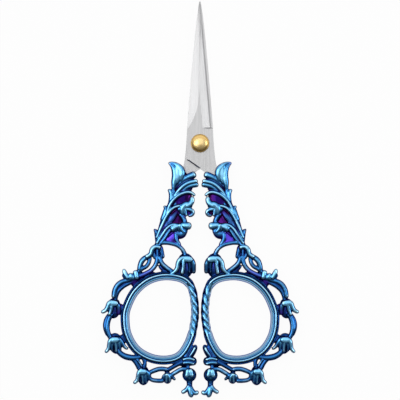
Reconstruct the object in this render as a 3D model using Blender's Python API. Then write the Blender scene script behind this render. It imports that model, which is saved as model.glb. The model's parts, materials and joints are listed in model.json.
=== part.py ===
"""Embroidery scissors with cast lily-of-the-valley handles, lying closed on a table.

Two identical halves, each a ground steel blade whose tang is held in an ornamental cast handle, turn
on a domed pivot cap that a slotted screw holds from behind. One half is the other turned over.

Frame: metres, +Z up off the table, +Y towards the blade tips, +X across. The origin is on the table
under the middle of the closed scissors. Pieces are first modelled round the pivot axis, with the
meeting plane of the two blades at z = 0, in the front half, whose handle lies at +X.
"""

from math import atan2, cos, degrees, hypot, pi, radians, sin

import bmesh
import bpy
from mathutils import Matrix, Vector

MM = 0.001

# Blades, from the pivot axis
BLADE_REACH = 44.9 * MM
HEEL_HALF_WIDTH = 4.1 * MM
EDGE_AT_HEEL = 3.55 * MM
GRIND_END = 4.65 * MM
RIDGE_SPLIT = 17.5 * MM
RIDGE_LEAN = 0.38 * MM
WEDGE_FOOT = 0.75 * MM
BLADE_STOCK = 1.3 * MM
TIP_STOCK = 0.45 * MM
TIP_HALF_WIDTH = 0.1 * MM
SPINE_SHARE = 0.6
EDGE_LAND = 0.12 * MM
EDGE_BEVEL = 0.4 * MM
EDGE_BEVEL_RISE = 0.28 * MM
RICASSO_FOOT = 5.15 * MM
SHOULDER_DROP = 8.2 * MM
SHOULDER_OUT = 5.25 * MM
SPINE_FLARE = 0.12 * MM
SHOULDER_FLARE = 0.75 * MM
TANG_ROOT_DROP = 1.1 * MM
TANG_ROOT_IN = 0.9 * MM
TANG_DROP = 19.0 * MM
TANG_WIDTH = 3.2 * MM
TANG_WAIST = 2.2 * MM
WAIST_LENGTH = 2.2 * MM
WAIST_BLEND = 0.5 * MM
SECTION_STEP = 0.01 * MM
TANG_CLEARANCE = 0.1 * MM
RUNNING_GAP = 0.06 * MM
THIN_RIDGE = 0.06 * MM

# Pivot
PIVOT_DIAMETER = 3.0 * MM
PIVOT_CLEARANCE = 0.05 * MM
CAP_DIAMETER = 5.8 * MM
CAP_RIM = 0.45 * MM
CAP_RISE = 1.05 * MM
CAP_BEVEL = 0.12 * MM
SCREW_HEAD_DIAMETER = 5.2 * MM
SCREW_HEAD_HEIGHT = 0.75 * MM
SCREW_DIAMETER = 1.8 * MM
SCREW_BEVEL = 0.18 * MM
SLOT_WIDTH = 0.6 * MM
SLOT_DEPTH = 0.35 * MM
SEAT_GAP = 0.05 * MM
THREAD_CLEARANCE = 0.05 * MM

# Finger bow of the handle
HOLE_WIDTH = 20.1 * MM
HOLE_HEIGHT = 24.6 * MM
BAND_WIDTH = 2.45 * MM
HANDLE_THICKNESS = 4.4 * MM
BOW_DROP = 55.2 * MM
STOP_GAP = 0.3 * MM
ROPE_FROM = 130.0
ROPE_TO = 207.0
ROPE_BLEND = 10.0
ROPE_STRANDS = 4
ROPE_TURNS = 1.1
ROPE_RELIEF = 0.3 * MM
ROPE_FLATNESS = 0.92

# Leafy stem of the handle
STEM_THICKNESS = 4.4 * MM
CORE_THICKNESS = 3.7 * MM
STEM_TOP_X = 4.2 * MM
STEM_TOP_DROP = 9.0 * MM
STEM_FOOT_RISE = 9.3 * MM
STEM_FOOT_OUT = 0.5 * MM

# Vine and flowers
VINE_THICKNESS = 3.6 * MM
BELL_THICKNESS = 4.8 * MM
# One unit of the widths and offsets that leaves, vine and flowers are drawn in
ORNAMENT_STEP = 1.0 * MM

ROUND_SIDES = 32
ROPE_STATIONS = 5
STROKE_SIDES = 6
STATIONS_PER_SPAN = 4
STATION_TOLERANCE = 0.1 * MM
ROUNDED_END = 0.65 * MM
CREST_SHARE = 0.4

# Outline of the finger hole: shares of its half width and half height, anticlockwise from the
# inner side of the right-hand bow, fuller at the top and drawn in towards the lower inner corner.
HOLE_OUTLINE = (
    (-0.997, 0.26), (-0.937, -0.28), (-0.80, -0.627), (-0.55, -0.91), (-0.173, -1.0),
    (0.267, -0.949), (0.676, -0.75), (0.928, -0.409), (0.997, -0.05), (0.953, 0.234),
    (0.708, 0.632), (0.267, 0.92), (-0.30, 1.0), (-0.833, 0.838),
)
# Half of the bow's moulding, outer wall to inner wall: two round beads with a groove between them,
# in shares of half the band's width and half its thickness.
BOW_MOULDING = (
    (1.0, 0.0), (0.96, 0.62), (0.62, 1.0), (0.22, 0.80), (-0.2, 0.95), (-0.84, 0.64), (-1.0, 0.0),
)


# Curves in the plane of the scissors

def spline_point(p0, p1, p2, p3, t):
    """A point on the Catmull-Rom span from p1 to p2."""
    return [
        0.5 * (2 * b + (c - a) * t + (2 * a - 5 * b + 4 * c - d) * t * t
               + (3 * b - a - 3 * c + d) * t ** 3)
        for a, b, c, d in zip(p0, p1, p2, p3)
    ]


def open_spline(points, per_span):
    """Stations along a smooth open curve through the points, ends included."""
    last = len(points) - 1
    stations = []
    for i in range(last):
        before = points[max(i - 1, 0)]
        after = points[min(i + 2, last)]
        for j in range(per_span):
            stations.append(spline_point(before, points[i], points[i + 1], after, j / per_span))
    stations.append(list(points[last]))
    return stations


def closed_spline(points, per_span):
    """Stations along a smooth closed curve through the points."""
    count = len(points)
    return [
        spline_point(points[i - 1], points[i], points[(i + 1) % count], points[(i + 2) % count],
                     j / per_span)
        for i in range(count)
        for j in range(per_span)
    ]


def needed_stations(stations, tolerance):
    """The stations that matter: one that lies this near the straight line between its neighbours is
    left out."""
    first, last = Vector(stations[0]), Vector(stations[-1])
    line = last - first
    worst, at = tolerance, None
    for i in range(1, len(stations) - 1):
        share = (Vector(stations[i]) - first).dot(line) / max(line.length_squared, 1e-18)
        off = (first + line * min(max(share, 0), 1) - Vector(stations[i])).length
        if off > worst:
            worst, at = off, i
    if at is None:
        return [stations[0], stations[-1]]
    before = needed_stations(stations[: at + 1], tolerance)
    return before + needed_stations(stations[at:], tolerance)[1:]


def turned_right(direction):
    """The unit vector a quarter turn clockwise from a direction in the plane."""
    return Vector((direction.y, -direction.x)).normalized()


# The bow's outline, about its own centre

def bow_centre():
    """The middle of the finger hole: the two bows stop against each other at the middle plane."""
    return Vector((HOLE_WIDTH / 2 + BAND_WIDTH + STOP_GAP / 2, -BOW_DROP))


def bow_stations(per_span):
    """Points on the hole's edge with their outward normals."""
    half = (HOLE_WIDTH / 2, HOLE_HEIGHT / 2)
    edge = [Vector((p[0] * half[0], p[1] * half[1])) for p in closed_spline(HOLE_OUTLINE, per_span)]
    count = len(edge)
    return [(edge[i], turned_right(edge[(i + 1) % count] - edge[i - 1])) for i in range(count)]


def turn_of(point):
    """The angle of a point about the bow's centre, in degrees from the outer side."""
    return degrees(atan2(point.y, point.x)) % 360


def bow_rim():
    """The bow's outer rim as (angle in degrees, distance from the centre), by rising angle."""
    outer = [point + normal * BAND_WIDTH for point, normal in bow_stations(12)]
    return sorted((turn_of(p), p.length) for p in outer)


def on_bow(angle, out):
    """A point on the ray at this angle, this many ornament steps outside the bow's rim."""
    rim = bow_rim()
    rim = [(rim[-1][0] - 360, rim[-1][1])] + rim + [(rim[0][0] + 360, rim[0][1])]
    turn = angle % 360
    for (a, ra), (b, rb) in zip(rim, rim[1:]):
        if a <= turn <= b:
            share = (turn - a) / max(b - a, 1e-9)
            reach = ra + (rb - ra) * share + out * ORNAMENT_STEP
            break
    return bow_centre() + Vector((cos(radians(turn)), sin(radians(turn)))) * reach


def on_stem(down, side):
    """A point beside the stem: down is 0 at the blade's shoulder and 1 at the stem's foot above the
    bow, and side is ornament steps outwards."""
    top = Vector((STEM_TOP_X, -STEM_TOP_DROP))
    foot = bow_centre() + Vector((STEM_FOOT_OUT, HOLE_HEIGHT / 2 + BAND_WIDTH + STEM_FOOT_RISE))
    along = foot - top
    outward = Vector((-along.y, along.x)).normalized()
    return top + along * down + outward * side * ORNAMENT_STEP


# Solids

def mesh_object(name, mesh_data):
    """A new object in the scene that holds this bmesh."""
    mesh = bpy.data.meshes.new(name)
    bmesh.ops.recalc_face_normals(mesh_data, faces=mesh_data.faces)
    mesh_data.to_mesh(mesh)
    mesh_data.free()
    made = bpy.data.objects.new(name, mesh)
    bpy.context.scene.collection.objects.link(made)
    return made


def loft(name, rings, closed=False):
    """A solid through rings of equally many points, joined end to end or capped."""
    data = bmesh.new()
    made = [[data.verts.new(point) for point in ring] for ring in rings]
    size = len(made[0])
    pairs = list(zip(made, made[1:]))
    if closed:
        pairs.append((made[-1], made[0]))
    for first, second in pairs:
        for i in range(size):
            j = (i + 1) % size
            data.faces.new((first[i], first[j], second[j], second[i]))
    if not closed:
        data.faces.new(made[0])
        data.faces.new(list(reversed(made[-1])))
    return mesh_object(name, data)


def turned(name, profile, sides):
    """A solid of revolution about Z from (radius, height) points; the ends lie on the axis or are
    capped flat."""
    rings = [
        [(radius * cos(2 * pi * i / sides), radius * sin(2 * pi * i / sides), height)
         for i in range(sides)]
        for radius, height in profile
    ]
    return loft(name, rings)


def box(name, low, high):
    """A plain block between two corners."""
    ring = [(low[0], low[1]), (high[0], low[1]), (high[0], high[1]), (low[0], high[1])]
    return loft(name, [[(x, y, z) for x, y in ring] for z in (low[2], high[2])])


def stroke(name, points, rise, sides=STROKE_SIDES):
    """A tapering ridge-backed strip in the plane: points are (place, half width in steps), and rise is
    the half thickness at its root, along its crest and at its tip. A broad tip is rounded over."""
    stations = open_spline([(*place, width * ORNAMENT_STEP) for place, width in points],
                           STATIONS_PER_SPAN)
    stations = needed_stations([tuple(station) for station in stations], STATION_TOLERANCE)
    lengths = [0.0]
    for first, second in zip(stations, stations[1:]):
        lengths.append(lengths[-1] + hypot(second[0] - first[0], second[1] - first[1]))
    root, crest, tip = rise
    heights = []
    for length in lengths:
        share = length / lengths[-1]
        if share < CREST_SHARE:
            heights.append(root + (crest - root) * share / CREST_SHARE)
        else:
            heights.append(crest + (tip - crest) * (share - CREST_SHARE) / (1 - CREST_SHARE))
    if stations[-1][2] > ROUNDED_END:
        x, y, width = stations[-1]
        onward = (Vector((x, y)) - Vector(stations[-2][:2])).normalized() * width * 0.6
        stations.append((x + onward.x, y + onward.y, width * 0.55))
        heights.append(heights[-1] * 0.8)
    count = len(stations)
    widened = 1 / cos(pi / sides)
    rings = []
    for i, (x, y, width) in enumerate(stations):
        before = stations[max(i - 1, 0)]
        after = stations[min(i + 1, count - 1)]
        across = turned_right(Vector((after[0] - before[0], after[1] - before[1])))
        rings.append([
            (x + across.x * width * widened * cos(turn), y + across.y * width * widened * cos(turn),
             heights[i] * sin(turn))
            for turn in (2 * pi * (k + 0.5) / sides for k in range(sides))
        ])
    return loft(name, rings)


def combined(target, others, operation):
    """The target after one exact Boolean with all the other solids, which are used up. All of them
    go through the same step, so that leaves crossing in one place are fused together."""
    group = bpy.data.collections.new("fused")
    bpy.context.scene.collection.children.link(group)
    for other in others:
        bpy.context.scene.collection.objects.unlink(other)
        group.objects.link(other)
    step = target.modifiers.new(operation.title(), "BOOLEAN")
    step.operation = operation
    step.solver = "EXACT"
    step.operand_type = "COLLECTION"
    step.collection = group
    graph = bpy.context.evaluated_depsgraph_get()
    result = bpy.data.meshes.new_from_object(target.evaluated_get(graph))
    target.modifiers.clear()
    target.data = result
    for other in others:
        bpy.data.objects.remove(other)
    bpy.data.collections.remove(group)
    return target


# Blades

def blade_section(y, grow):
    """The blade's cross-section at one distance along it, as seen from the front: spine at -X and
    cutting edge at +X. Points run bottom spine, top spine, two ridge points, bevel, edge. The
    pocket in the handle uses the same section grown by its clearance."""
    low = RUNNING_GAP / 2
    top = low + BLADE_STOCK
    if y > GRIND_END:
        share = (BLADE_REACH - y) / (BLADE_REACH - GRIND_END)
        ridge_top = low + TIP_STOCK + (BLADE_STOCK - TIP_STOCK) * min(1, share * 1.35)
        spine = -TIP_HALF_WIDTH - (HEEL_HALF_WIDTH - TIP_HALF_WIDTH) * share ** 0.75
        edge = TIP_HALF_WIDTH + (EDGE_AT_HEEL - TIP_HALF_WIDTH) * share
        spine_top = low + (ridge_top - low) * SPINE_SHARE
        past_split = max(0, (RIDGE_SPLIT - y) / (RIDGE_SPLIT - GRIND_END))
        ridge = -RIDGE_LEAN * min(1, (BLADE_REACH - y) / (BLADE_REACH - RIDGE_SPLIT))
        thin = min(THIN_RIDGE, (edge - spine) / 8)
        wedge_left = ridge - thin - (HEEL_HALF_WIDTH - 2 * RIDGE_LEAN) * past_split ** 2.7
        wedge_right = ridge + thin + (WEDGE_FOOT + RIDGE_LEAN) * past_split
        bevel = edge - min(EDGE_BEVEL, (edge - wedge_right) * 0.4)
        edge_top = low + EDGE_LAND
        return [
            (spine, y, low), (spine, y, spine_top), (wedge_left, y, ridge_top),
            (wedge_right, y, ridge_top), (bevel, y, low + EDGE_BEVEL_RISE + EDGE_LAND),
            (edge, y, edge_top), (edge, y, low),
        ]
    left, right = ricasso_sides(y)
    left, right, low, top = left - grow, right + grow, low - grow, top + grow
    fifth = (right - left) / 5
    return [
        (left, y, low), (left, y, top), (left + fifth, y, top), (left + 2 * fifth, y, top),
        (left + 3 * fifth, y, top), (right, y, top), (right, y, low),
    ]


def tang_centre(y):
    """Where the middle of the tang lies at this height: it leans outwards into the stem."""
    shoulder = Vector((STEM_TOP_X - TANG_ROOT_IN, -SHOULDER_DROP - TANG_ROOT_DROP))
    end = on_stem(0.42, -1.0)
    lean = (end.x - shoulder.x) / (end.y - shoulder.y)
    return shoulder.x + (y - shoulder.y) * lean


def ricasso_sides(y):
    """Left and right edge of the flat part of the blade below its ground faces."""
    tang_top = -SHOULDER_DROP - TANG_ROOT_DROP
    waist = (tang_top - TANG_DROP) / 2
    if y > -RICASSO_FOOT:
        down = (GRIND_END - y) / (GRIND_END + RICASSO_FOOT)
        return -HEEL_HALF_WIDTH - SPINE_FLARE * down, HEEL_HALF_WIDTH + SHOULDER_FLARE * down ** 1.6
    if y > tang_top:
        down = (-RICASSO_FOOT - y) / (-RICASSO_FOOT - tang_top)
        left = -HEEL_HALF_WIDTH - SPINE_FLARE
        left += (tang_centre(tang_top) - TANG_WIDTH / 2 - left) * down
        right = HEEL_HALF_WIDTH + SHOULDER_FLARE
        shoulder = max(SHOULDER_OUT, tang_centre(tang_top) + TANG_WIDTH / 2)
        return left, right + (shoulder - right) * min(1, 2 * down)
    half = TANG_WIDTH / 2
    if abs(y - waist) < (WAIST_LENGTH + WAIST_BLEND) / 2:
        half = TANG_WAIST / 2
    return tang_centre(y) - half, tang_centre(y) + half


def blade_heights():
    """Where the blade's sections are taken, from the tip down to the tang's end."""
    ground = BLADE_REACH - GRIND_END
    shares = (0, 0.02, 0.07, 0.16, 0.28, 0.42, 0.56, 0.68, 0.75, 0.81, 0.87, 0.92, 0.96, 0.985, 0.999)
    heights = [BLADE_REACH - ground * share for share in shares]
    heights += [GRIND_END - THIN_RIDGE * 2, 0.0, -RICASSO_FOOT * 0.55]
    return heights + tang_heights()


def tang_heights():
    """Sections from the foot of the ricasso to the tang's end, with the waist that keys it."""
    tang_top = -SHOULDER_DROP - TANG_ROOT_DROP
    waist = (tang_top - TANG_DROP) / 2
    neck, run_in = WAIST_LENGTH / 2, WAIST_LENGTH / 2 + WAIST_BLEND
    return [
        -RICASSO_FOOT + SECTION_STEP, (tang_top - RICASSO_FOOT) / 2, tang_top + SECTION_STEP,
        tang_top - 5 * SECTION_STEP, waist + run_in, waist + neck, waist - neck,
        waist - run_in, -TANG_DROP,
    ]


def make_blade(name):
    """The ground blade with its pivot hole."""
    blade = loft(name, [blade_section(y, 0) for y in blade_heights()])
    reach = BLADE_STOCK + RUNNING_GAP
    radius = PIVOT_DIAMETER / 2 + PIVOT_CLEARANCE
    drill = turned("drill", [(radius, -reach), (radius, 2 * reach)], ROUND_SIDES)
    return combined(blade, [drill], "DIFFERENCE")


def tang_cutter():
    """The space the ricasso's foot and the tang need inside the casting."""
    grow = TANG_CLEARANCE
    heights = [GRIND_END - 2 * TANG_CLEARANCE, 0.0, -RICASSO_FOOT * 0.55] + tang_heights()
    rings = [blade_section(y, grow) for y in heights]
    rings[-1] = [(x, y - grow, z) for x, y, z in rings[-1]]
    return loft("tang_cutter", rings)


# Cast handle

def bow_section(point, normal, angle):
    """The bow's cross-section at one station: a double bead that turns into a twisted rope along
    the inner side."""
    half_width, half_rise = BAND_WIDTH / 2, HANDLE_THICKNESS / 2
    into = min(max((angle - ROPE_FROM) / ROPE_BLEND, 0), 1)
    out_of = min(max((ROPE_TO - angle) / ROPE_BLEND, 0), 1)
    rope = min(into, out_of)
    wind = 2 * pi * ROPE_TURNS * (angle - ROPE_FROM) / (ROPE_TO - ROPE_FROM)
    back = [(across, -rise) for across, rise in reversed(BOW_MOULDING[1:-1])]
    moulding = list(BOW_MOULDING) + back
    count = len(moulding)
    ring = []
    for k, (across, rise) in enumerate(moulding):
        turn = 2 * pi * k / count
        strand = ROPE_RELIEF * (cos(ROPE_STRANDS * (turn - wind)) - 1) / 2
        rope_across = cos(turn) * (half_width + strand)
        rope_rise = sin(turn) * (half_rise * ROPE_FLATNESS + strand)
        across = across * half_width * (1 - rope) + rope_across * rope
        rise = rise * half_rise * (1 - rope) + rope_rise * rope
        place = point + normal * (half_width + across)
        ring.append((place.x, place.y, rise))
    return ring


def make_bow():
    """The finger bow, all the way round, with closer stations along the rope."""
    centre = bow_centre()
    rings = []
    for i, (point, normal) in enumerate(bow_stations(ROPE_STATIONS)):
        angle = turn_of(point + normal * BAND_WIDTH / 2)
        if i % 2 and not ROPE_FROM < angle < ROPE_TO:
            continue
        rings.append(bow_section(point + centre, normal, angle))
    return loft("bow", rings, closed=True)


def bell(name, top, mouth, half_width, flare=1.15, shoulder=0.86, petals=6):
    """A hanging bell flower: a domed crown, ribbed sides and a flared mouth of pointed petals with
    a shallow hollow inside. The half width is in ornament steps."""
    axis = (mouth - top).normalized()
    across = turned_right(axis)
    length = (mouth - top).length
    wide = half_width * ORNAMENT_STEP
    deep = min(wide, BELL_THICKNESS / 2)
    profile = (
        (0.0, 0.3, 0), (0.06, 0.7 * shoulder, 0), (0.2, 0.96 * shoulder, 0.02),
        (0.6, 0.5 * (shoulder + 1), 0.08), (0.94, flare, 0.13),
        (0.74, flare * 0.45, 0),
    )
    sides = 2 * petals
    rings = []
    for down, spread, rib in profile:
        ring = []
        for k in range(sides):
            turn = 2 * pi * k / sides
            petal = cos(petals * (turn - pi / 2))
            swell = spread * (1 + rib * petal)
            fall = down + (0.07 * petal if down > 0.9 else 0)
            place = top + axis * length * fall + across * wide * swell * cos(turn)
            ring.append((place.x, place.y, deep * min(swell, 1.0) * sin(turn)))
        rings.append(ring)
    return loft(name, rings)


def bud(name, top, length, radius):
    """The round hanging bud with a waisted neck and a small flared mouth below it."""
    radius, length = radius * ORNAMENT_STEP, length * ORNAMENT_STEP
    profile = (
        (0.0, 0.3, 0), (0.05, 0.68, 0), (0.16, 0.97, 0.02), (0.31, 0.98, 0.02), (0.45, 0.66, 0),
        (0.57, 0.36, 0), (0.70, 0.4, 0), (0.84, 0.72, 0.18), (0.95, 1.02, 0.3), (0.82, 0.3, 0),
    )
    petals = 5
    sides = 2 * petals
    rings = []
    for down, spread, rib in profile:
        ring = []
        for k in range(sides):
            turn = 2 * pi * k / sides
            petal = cos(petals * turn)
            swell = spread * (1 + rib * petal)
            fall = down - (0.03 * petal if down > 0.9 else 0)
            deep = min(radius, BELL_THICKNESS / 2)
            ring.append((top.x + radius * swell * cos(turn), top.y - length * fall,
                         deep * min(swell, 1.0) * sin(turn)))
        rings.append(ring)
    return loft(name, rings)


def vine():
    """The undulating vine round the outside of the bow, and the short stalks that tie it on."""
    rise = (VINE_THICKNESS / 2,) * 3
    runs = {
        "upper_run": [(55, 0.9, 0.8), (49, 2.5, 0.85), (42, 3.4, 0.88), (36, 3.7, 0.88),
                      (28, 3.5, 0.85), (19, 2.8, 0.75)],
        "side_run": [(5, 2.7, 0.9), (357, 3.9, 1.0), (351, 4.5, 1.05), (344, 4.7, 1.05),
                     (339, 4.5, 0.95), (334, 3.7, 0.8)],
        "lower_run": [(324, 4.0, 0.7), (316, 3.2, 0.8), (310, 2.3, 0.78), (304, 1.1, 0.75),
                      (297, 0.2, 0.7), (292, -0.7, 0.7)],
        "lower_fork": [(308, 1.8, 0.55), (299, 1.9, 0.55), (292, 3.0, 0.55)],
        "fork_tie": [(293, -0.5, 0.5), (288, 0.1, 0.5), (286, 1.2, 0.5), (288, 3.0, 0.5)],
        "foot_upper": [(284, 3.6, 0.5), (276, 1.9, 0.52), (271, 1.2, 0.52), (265, 0.9, 0.52),
                       (260, 2.0, 0.52)],
        "foot_lower": [(284, 4.2, 0.5), (277, 4.9, 0.5), (272, 5.2, 0.5), (265, 4.8, 0.5)],
        "foot_tie": [(261, 2.4, 0.55), (259, 1.0, 0.55), (252, 0.4, 0.55), (243, 0.5, 0.6),
                     (236, 0.6, 0.6)],
        "bud_tie": [(258, 3.2, 0.45), (251, 2.6, 0.45), (245, 2.7, 0.45), (241, 3.8, 0.5)],
        "bud_stalk": [(238, -0.4, 0.6), (239, 3.8, 0.55)],
        "upper_web": [(60, 2.0, 1.0), (57, -1.1, 1.25)],
        "crown_right": [(90, 5.3, 0.6), (90, 3.7, 0.6), (94, 1.9, 0.6), (101, 0.4, 0.6),
                        (110, -0.9, 0.6)],
        "crown_left": [(89, 4.6, 0.55), (87, 2.6, 0.55), (81, 1.6, 0.55), (74, 1.1, 0.6),
                       (63, 0.3, 0.6)],
    }
    return [
        stroke(name, [(on_bow(angle, out), width) for angle, out, width in run], rise)
        for name, run in runs.items()
    ]


def eyelet():
    """The small pointed eyelet beside the crown of the bow."""
    lower, upper = on_bow(70, 2.7), on_bow(83, 5.7)
    middle = (lower + upper) / 2
    along = (upper - lower) / 2
    across = turned_right(along) * ORNAMENT_STEP
    half = 0.55 * ORNAMENT_STEP
    rings = []
    steps = 10
    for i in range(steps):
        turn = 2 * pi * i / steps
        place = middle + along * 0.84 * cos(turn) + across * sin(turn)
        outward = (along.normalized() * cos(turn) + across.normalized() * sin(turn)).normalized()
        rings.append([
            (place.x + outward.x * half * cos(a), place.y + outward.y * half * cos(a),
             VINE_THICKNESS / 2 * sin(a))
            for a in (2 * pi * (k + 0.5) / STROKE_SIDES for k in range(STROKE_SIDES))
        ])
    return loft("eyelet", rings, closed=True)


def flowers():
    """The bell flowers, named by where they hang."""
    return [
        bell("inner_bell", on_bow(110.5, 6.3), on_bow(122, -0.4), 3.05, flare=1.05, shoulder=1.0),
        bell("crown_bell", on_stem(1.0, 0.4), on_bow(89, 4.2), 2.3, flare=1.08, shoulder=0.85),
        bell("horn_bell", on_bow(66, 1.7), on_bow(53, 4.9), 1.2, flare=1.25, shoulder=0.95),
        bell("shoulder_bell", on_bow(20, 3.1), on_bow(3, 3.0), 2.1, flare=1.2),
        bell("side_bell", on_bow(337, 2.9), on_bow(322, 4.3), 2.15, flare=1.3),
        bell("lower_bell", on_bow(289, 2.2), on_bow(286, 7.2), 2.0, flare=1.25, shoulder=0.8),
        bell("foot_bell", on_bow(261, 1.7), on_bow(262, 5.9), 1.85, flare=1.1),
        bud("hanging_bud", on_bow(238.5, 3.2), 9.3, 2.5),
    ]


def foot_leaves():
    """Curled leaves at the bow's lower inner corner."""
    half = VINE_THICKNESS / 2
    rise = (half, half * 1.05, half * 0.9)
    runs = {
        "curl_leaf": [(235, -0.9, 0.6), (229.5, 0.6, 0.85), (224.3, 0.6, 1.1)],
        "lobe_leaf": [(240, -0.9, 0.8), (235, 1.0, 1.0), (230.5, 1.7, 1.05)],
        "lobe_leaf_low": [(242, -0.4, 0.6), (236.8, 2.0, 0.8), (233, 2.7, 0.8)],
    }
    return [
        stroke(name, [(on_bow(angle, out), width) for angle, out, width in run], rise)
        for name, run in runs.items()
    ]


def stem_leaves():
    """Acanthus leaves of the stem. Each run is (down, side, half width) from root to tip."""
    full = STEM_THICKNESS / 2
    runs = {
        "crown_leaf_outer": [(0.28, 1.0, 0.8), (0.17, 2.2, 1.0), (0.06, 3.3, 0.95), (0.0, 4.7, 0.7),
                             (-0.03, 6.2, 0.12)],
        "crown_leaf_inner": [(0.215, -0.1, 0.8), (0.095, 0.4, 1.07), (-0.005, 2.0, 1.0),
                             (-0.05, 3.8, 0.63), (-0.05, 5.3, 0.15)],
        "top_lobe": [(0.195, 0.4, 0.57), (0.11, -0.1, 0.76), (0.03, -1.1, 0.95), (0.01, -2.2, 1.0)],
        "second_lobe": [(0.27, 0.5, 0.5), (0.18, -0.5, 0.7), (0.1, -1.9, 0.82), (0.072, -3.4, 0.85),
                        (0.09, -4.2, 0.78)],
        "second_lobe_low": [(0.29, 0.2, 0.57), (0.21, -1.5, 0.7), (0.14, -2.8, 0.7), (0.12, -4.0, 0.47)],
        "third_leaf": [(0.52, 0.9, 0.63), (0.415, 0.8, 0.76), (0.32, -0.1, 0.82), (0.25, -1.7, 0.79),
                       (0.22, -3.3, 0.57), (0.245, -5.5, 0.19)],
        "third_lobe": [(0.445, -1.7, 0.63), (0.39, -2.8, 0.98), (0.34, -4.1, 1.23), (0.33, -4.7, 1.14)],
        "fourth_leaf": [(0.685, 0.6, 0.7), (0.585, 0.7, 0.73), (0.515, -0.1, 0.7), (0.46, -1.8, 0.63),
                        (0.42, -3.8, 0.57)],
        "fourth_curl": [(0.46, -2.5, 0.5), (0.42, -4.5, 0.63), (0.42, -6.1, 0.63), (0.46, -6.6, 0.63),
                        (0.5, -5.8, 0.63), (0.5, -4.4, 0.57), (0.47, -3.5, 0.47)],
        "fourth_rib": [(0.705, -0.8, 0.5), (0.615, -0.9, 0.57), (0.54, -1.6, 0.54), (0.48, -2.3, 0.38)],
        "fourth_belly": [(0.495, -2.0, 0.5), (0.52, -3.7, 0.73), (0.55, -5.1, 0.76), (0.61, -5.3, 0.5)],
        "fifth_leaf": [(0.935, -0.6, 0.57), (0.83, -0.4, 0.66), (0.755, -1.2, 0.73), (0.71, -2.8, 0.82),
                       (0.685, -4.7, 1.0), (0.65, -7.0, 1.15)],
        "fifth_curl": [(0.735, -3.1, 0.63), (0.735, -5.3, 0.76), (0.76, -6.8, 0.85), (0.805, -6.6, 0.63)],
        "foot_edge": [(0.75, -3.1, 0.57), (0.79, -4.8, 0.7), (0.865, -6.1, 0.5)],
        "outer_tip_top": [(0.525, 0.4, 0.7), (0.425, 1.2, 0.82), (0.335, 2.0, 0.63), (0.285, 3.2, 0.12)],
        "outer_tip_middle": [(0.825, -0.3, 0.7), (0.705, 0.3, 0.79), (0.595, 1.1, 0.7),
                             (0.51, 2.6, 0.12)],
        "outer_tip_low": [(1.0, -0.9, 0.82), (0.92, 0.1, 0.95), (0.865, 1.3, 0.7), (0.845, 2.9, 0.12)],
        "arch": [(1.0, -0.5, 0.5), (0.975, -2.4, 0.57), (0.945, -4.1, 0.54), (0.945, -6.2, 0.54),
                 (0.98, -8.2, 0.5), (1.04, -9.6, 0.5)],
    }
    leaves = [
        stroke(name, [(on_stem(down, side), width) for down, side, width in run],
               (CORE_THICKNESS * 0.46, full, full * 0.8))
        for name, run in runs.items()
    ]
    cup = [(on_stem(0.48, -3.7), 0.76), (on_stem(0.455, -5.7), 0.76)]
    leaves.append(stroke("curl_cup", cup, (full * 0.6,) * 3))
    return leaves


def stem_core():
    """The solid heart of the stem behind its leaves, thick enough to hold the tang."""
    run = [(0.015, 0.8, 1.6), (0.095, 0.3, 2.2), (0.185, -0.3, 2.6), (0.3, -1.0, 2.95),
           (0.435, -1.4, 2.9), (0.57, -1.9, 2.85), (0.705, -2.4, 2.9), (0.825, -2.7, 2.85),
           (0.925, -3.4, 2.6)]
    points = [(on_stem(down, side), width) for down, side, width in run]
    half = CORE_THICKNESS / 2
    return stroke("stem_core", points, (half, half, half * 0.72), sides=8)


def make_handle(name):
    """One casting: bow, vine, flowers and leafy stem fused, with the pocket that holds the tang."""
    handle = make_bow()
    handle.name = name
    handle.data.name = name
    ornaments = [stem_core(), *stem_leaves(), *vine(), eyelet(), *flowers(), *foot_leaves()]
    combined(handle, ornaments, "UNION")
    return combined(handle, [tang_cutter()], "DIFFERENCE")


# Pivot

def make_cap(name):
    """The domed cap: a low polished dome over a short rim, with a hollow post through both blades."""
    seat = RUNNING_GAP / 2 + BLADE_STOCK + SEAT_GAP
    foot = -RUNNING_GAP / 2 - BLADE_STOCK
    radius = CAP_DIAMETER / 2
    dome = [
        (radius * cos(a), seat + CAP_RIM + CAP_RISE * sin(a))
        for a in (radians(step * 90 / 6) for step in range(6))
    ]
    profile = [(PIVOT_DIAMETER / 2, foot), (PIVOT_DIAMETER / 2, seat), (radius * 0.94, seat),
               (radius, seat + CAP_BEVEL), *dome, (radius * 0.04, seat + CAP_RIM + CAP_RISE)]
    cap = turned(name, profile, ROUND_SIDES)
    bore = SCREW_DIAMETER / 2 + THREAD_CLEARANCE
    thread = turned("thread", [(bore, foot - CAP_RIM), (bore, seat + CAP_RIM * 0.5)], ROUND_SIDES)
    return combined(cap, [thread], "DIFFERENCE")


def make_screw(name):
    """The slotted screw that closes the pivot from behind and threads into the post."""
    seat = -RUNNING_GAP / 2 - BLADE_STOCK - SEAT_GAP
    radius = SCREW_HEAD_DIAMETER / 2
    bottom = seat - SCREW_HEAD_HEIGHT
    end = RUNNING_GAP / 2 + BLADE_STOCK
    bevel = SCREW_BEVEL
    profile = [(radius - bevel, bottom), (radius, bottom + bevel), (radius, seat - SEAT_GAP),
               (radius - SEAT_GAP, seat), (SCREW_DIAMETER / 2, seat), (SCREW_DIAMETER / 2, end - bevel),
               (SCREW_DIAMETER / 2 - bevel, end)]
    screw = turned(name, profile, ROUND_SIDES)
    half = SLOT_WIDTH / 2
    slot = box("slot", (-radius * 1.2, -half, bottom - SLOT_DEPTH),
               (radius * 1.2, half, bottom + SLOT_DEPTH))
    return combined(screw, [slot], "DIFFERENCE")


# Finishes

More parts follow.
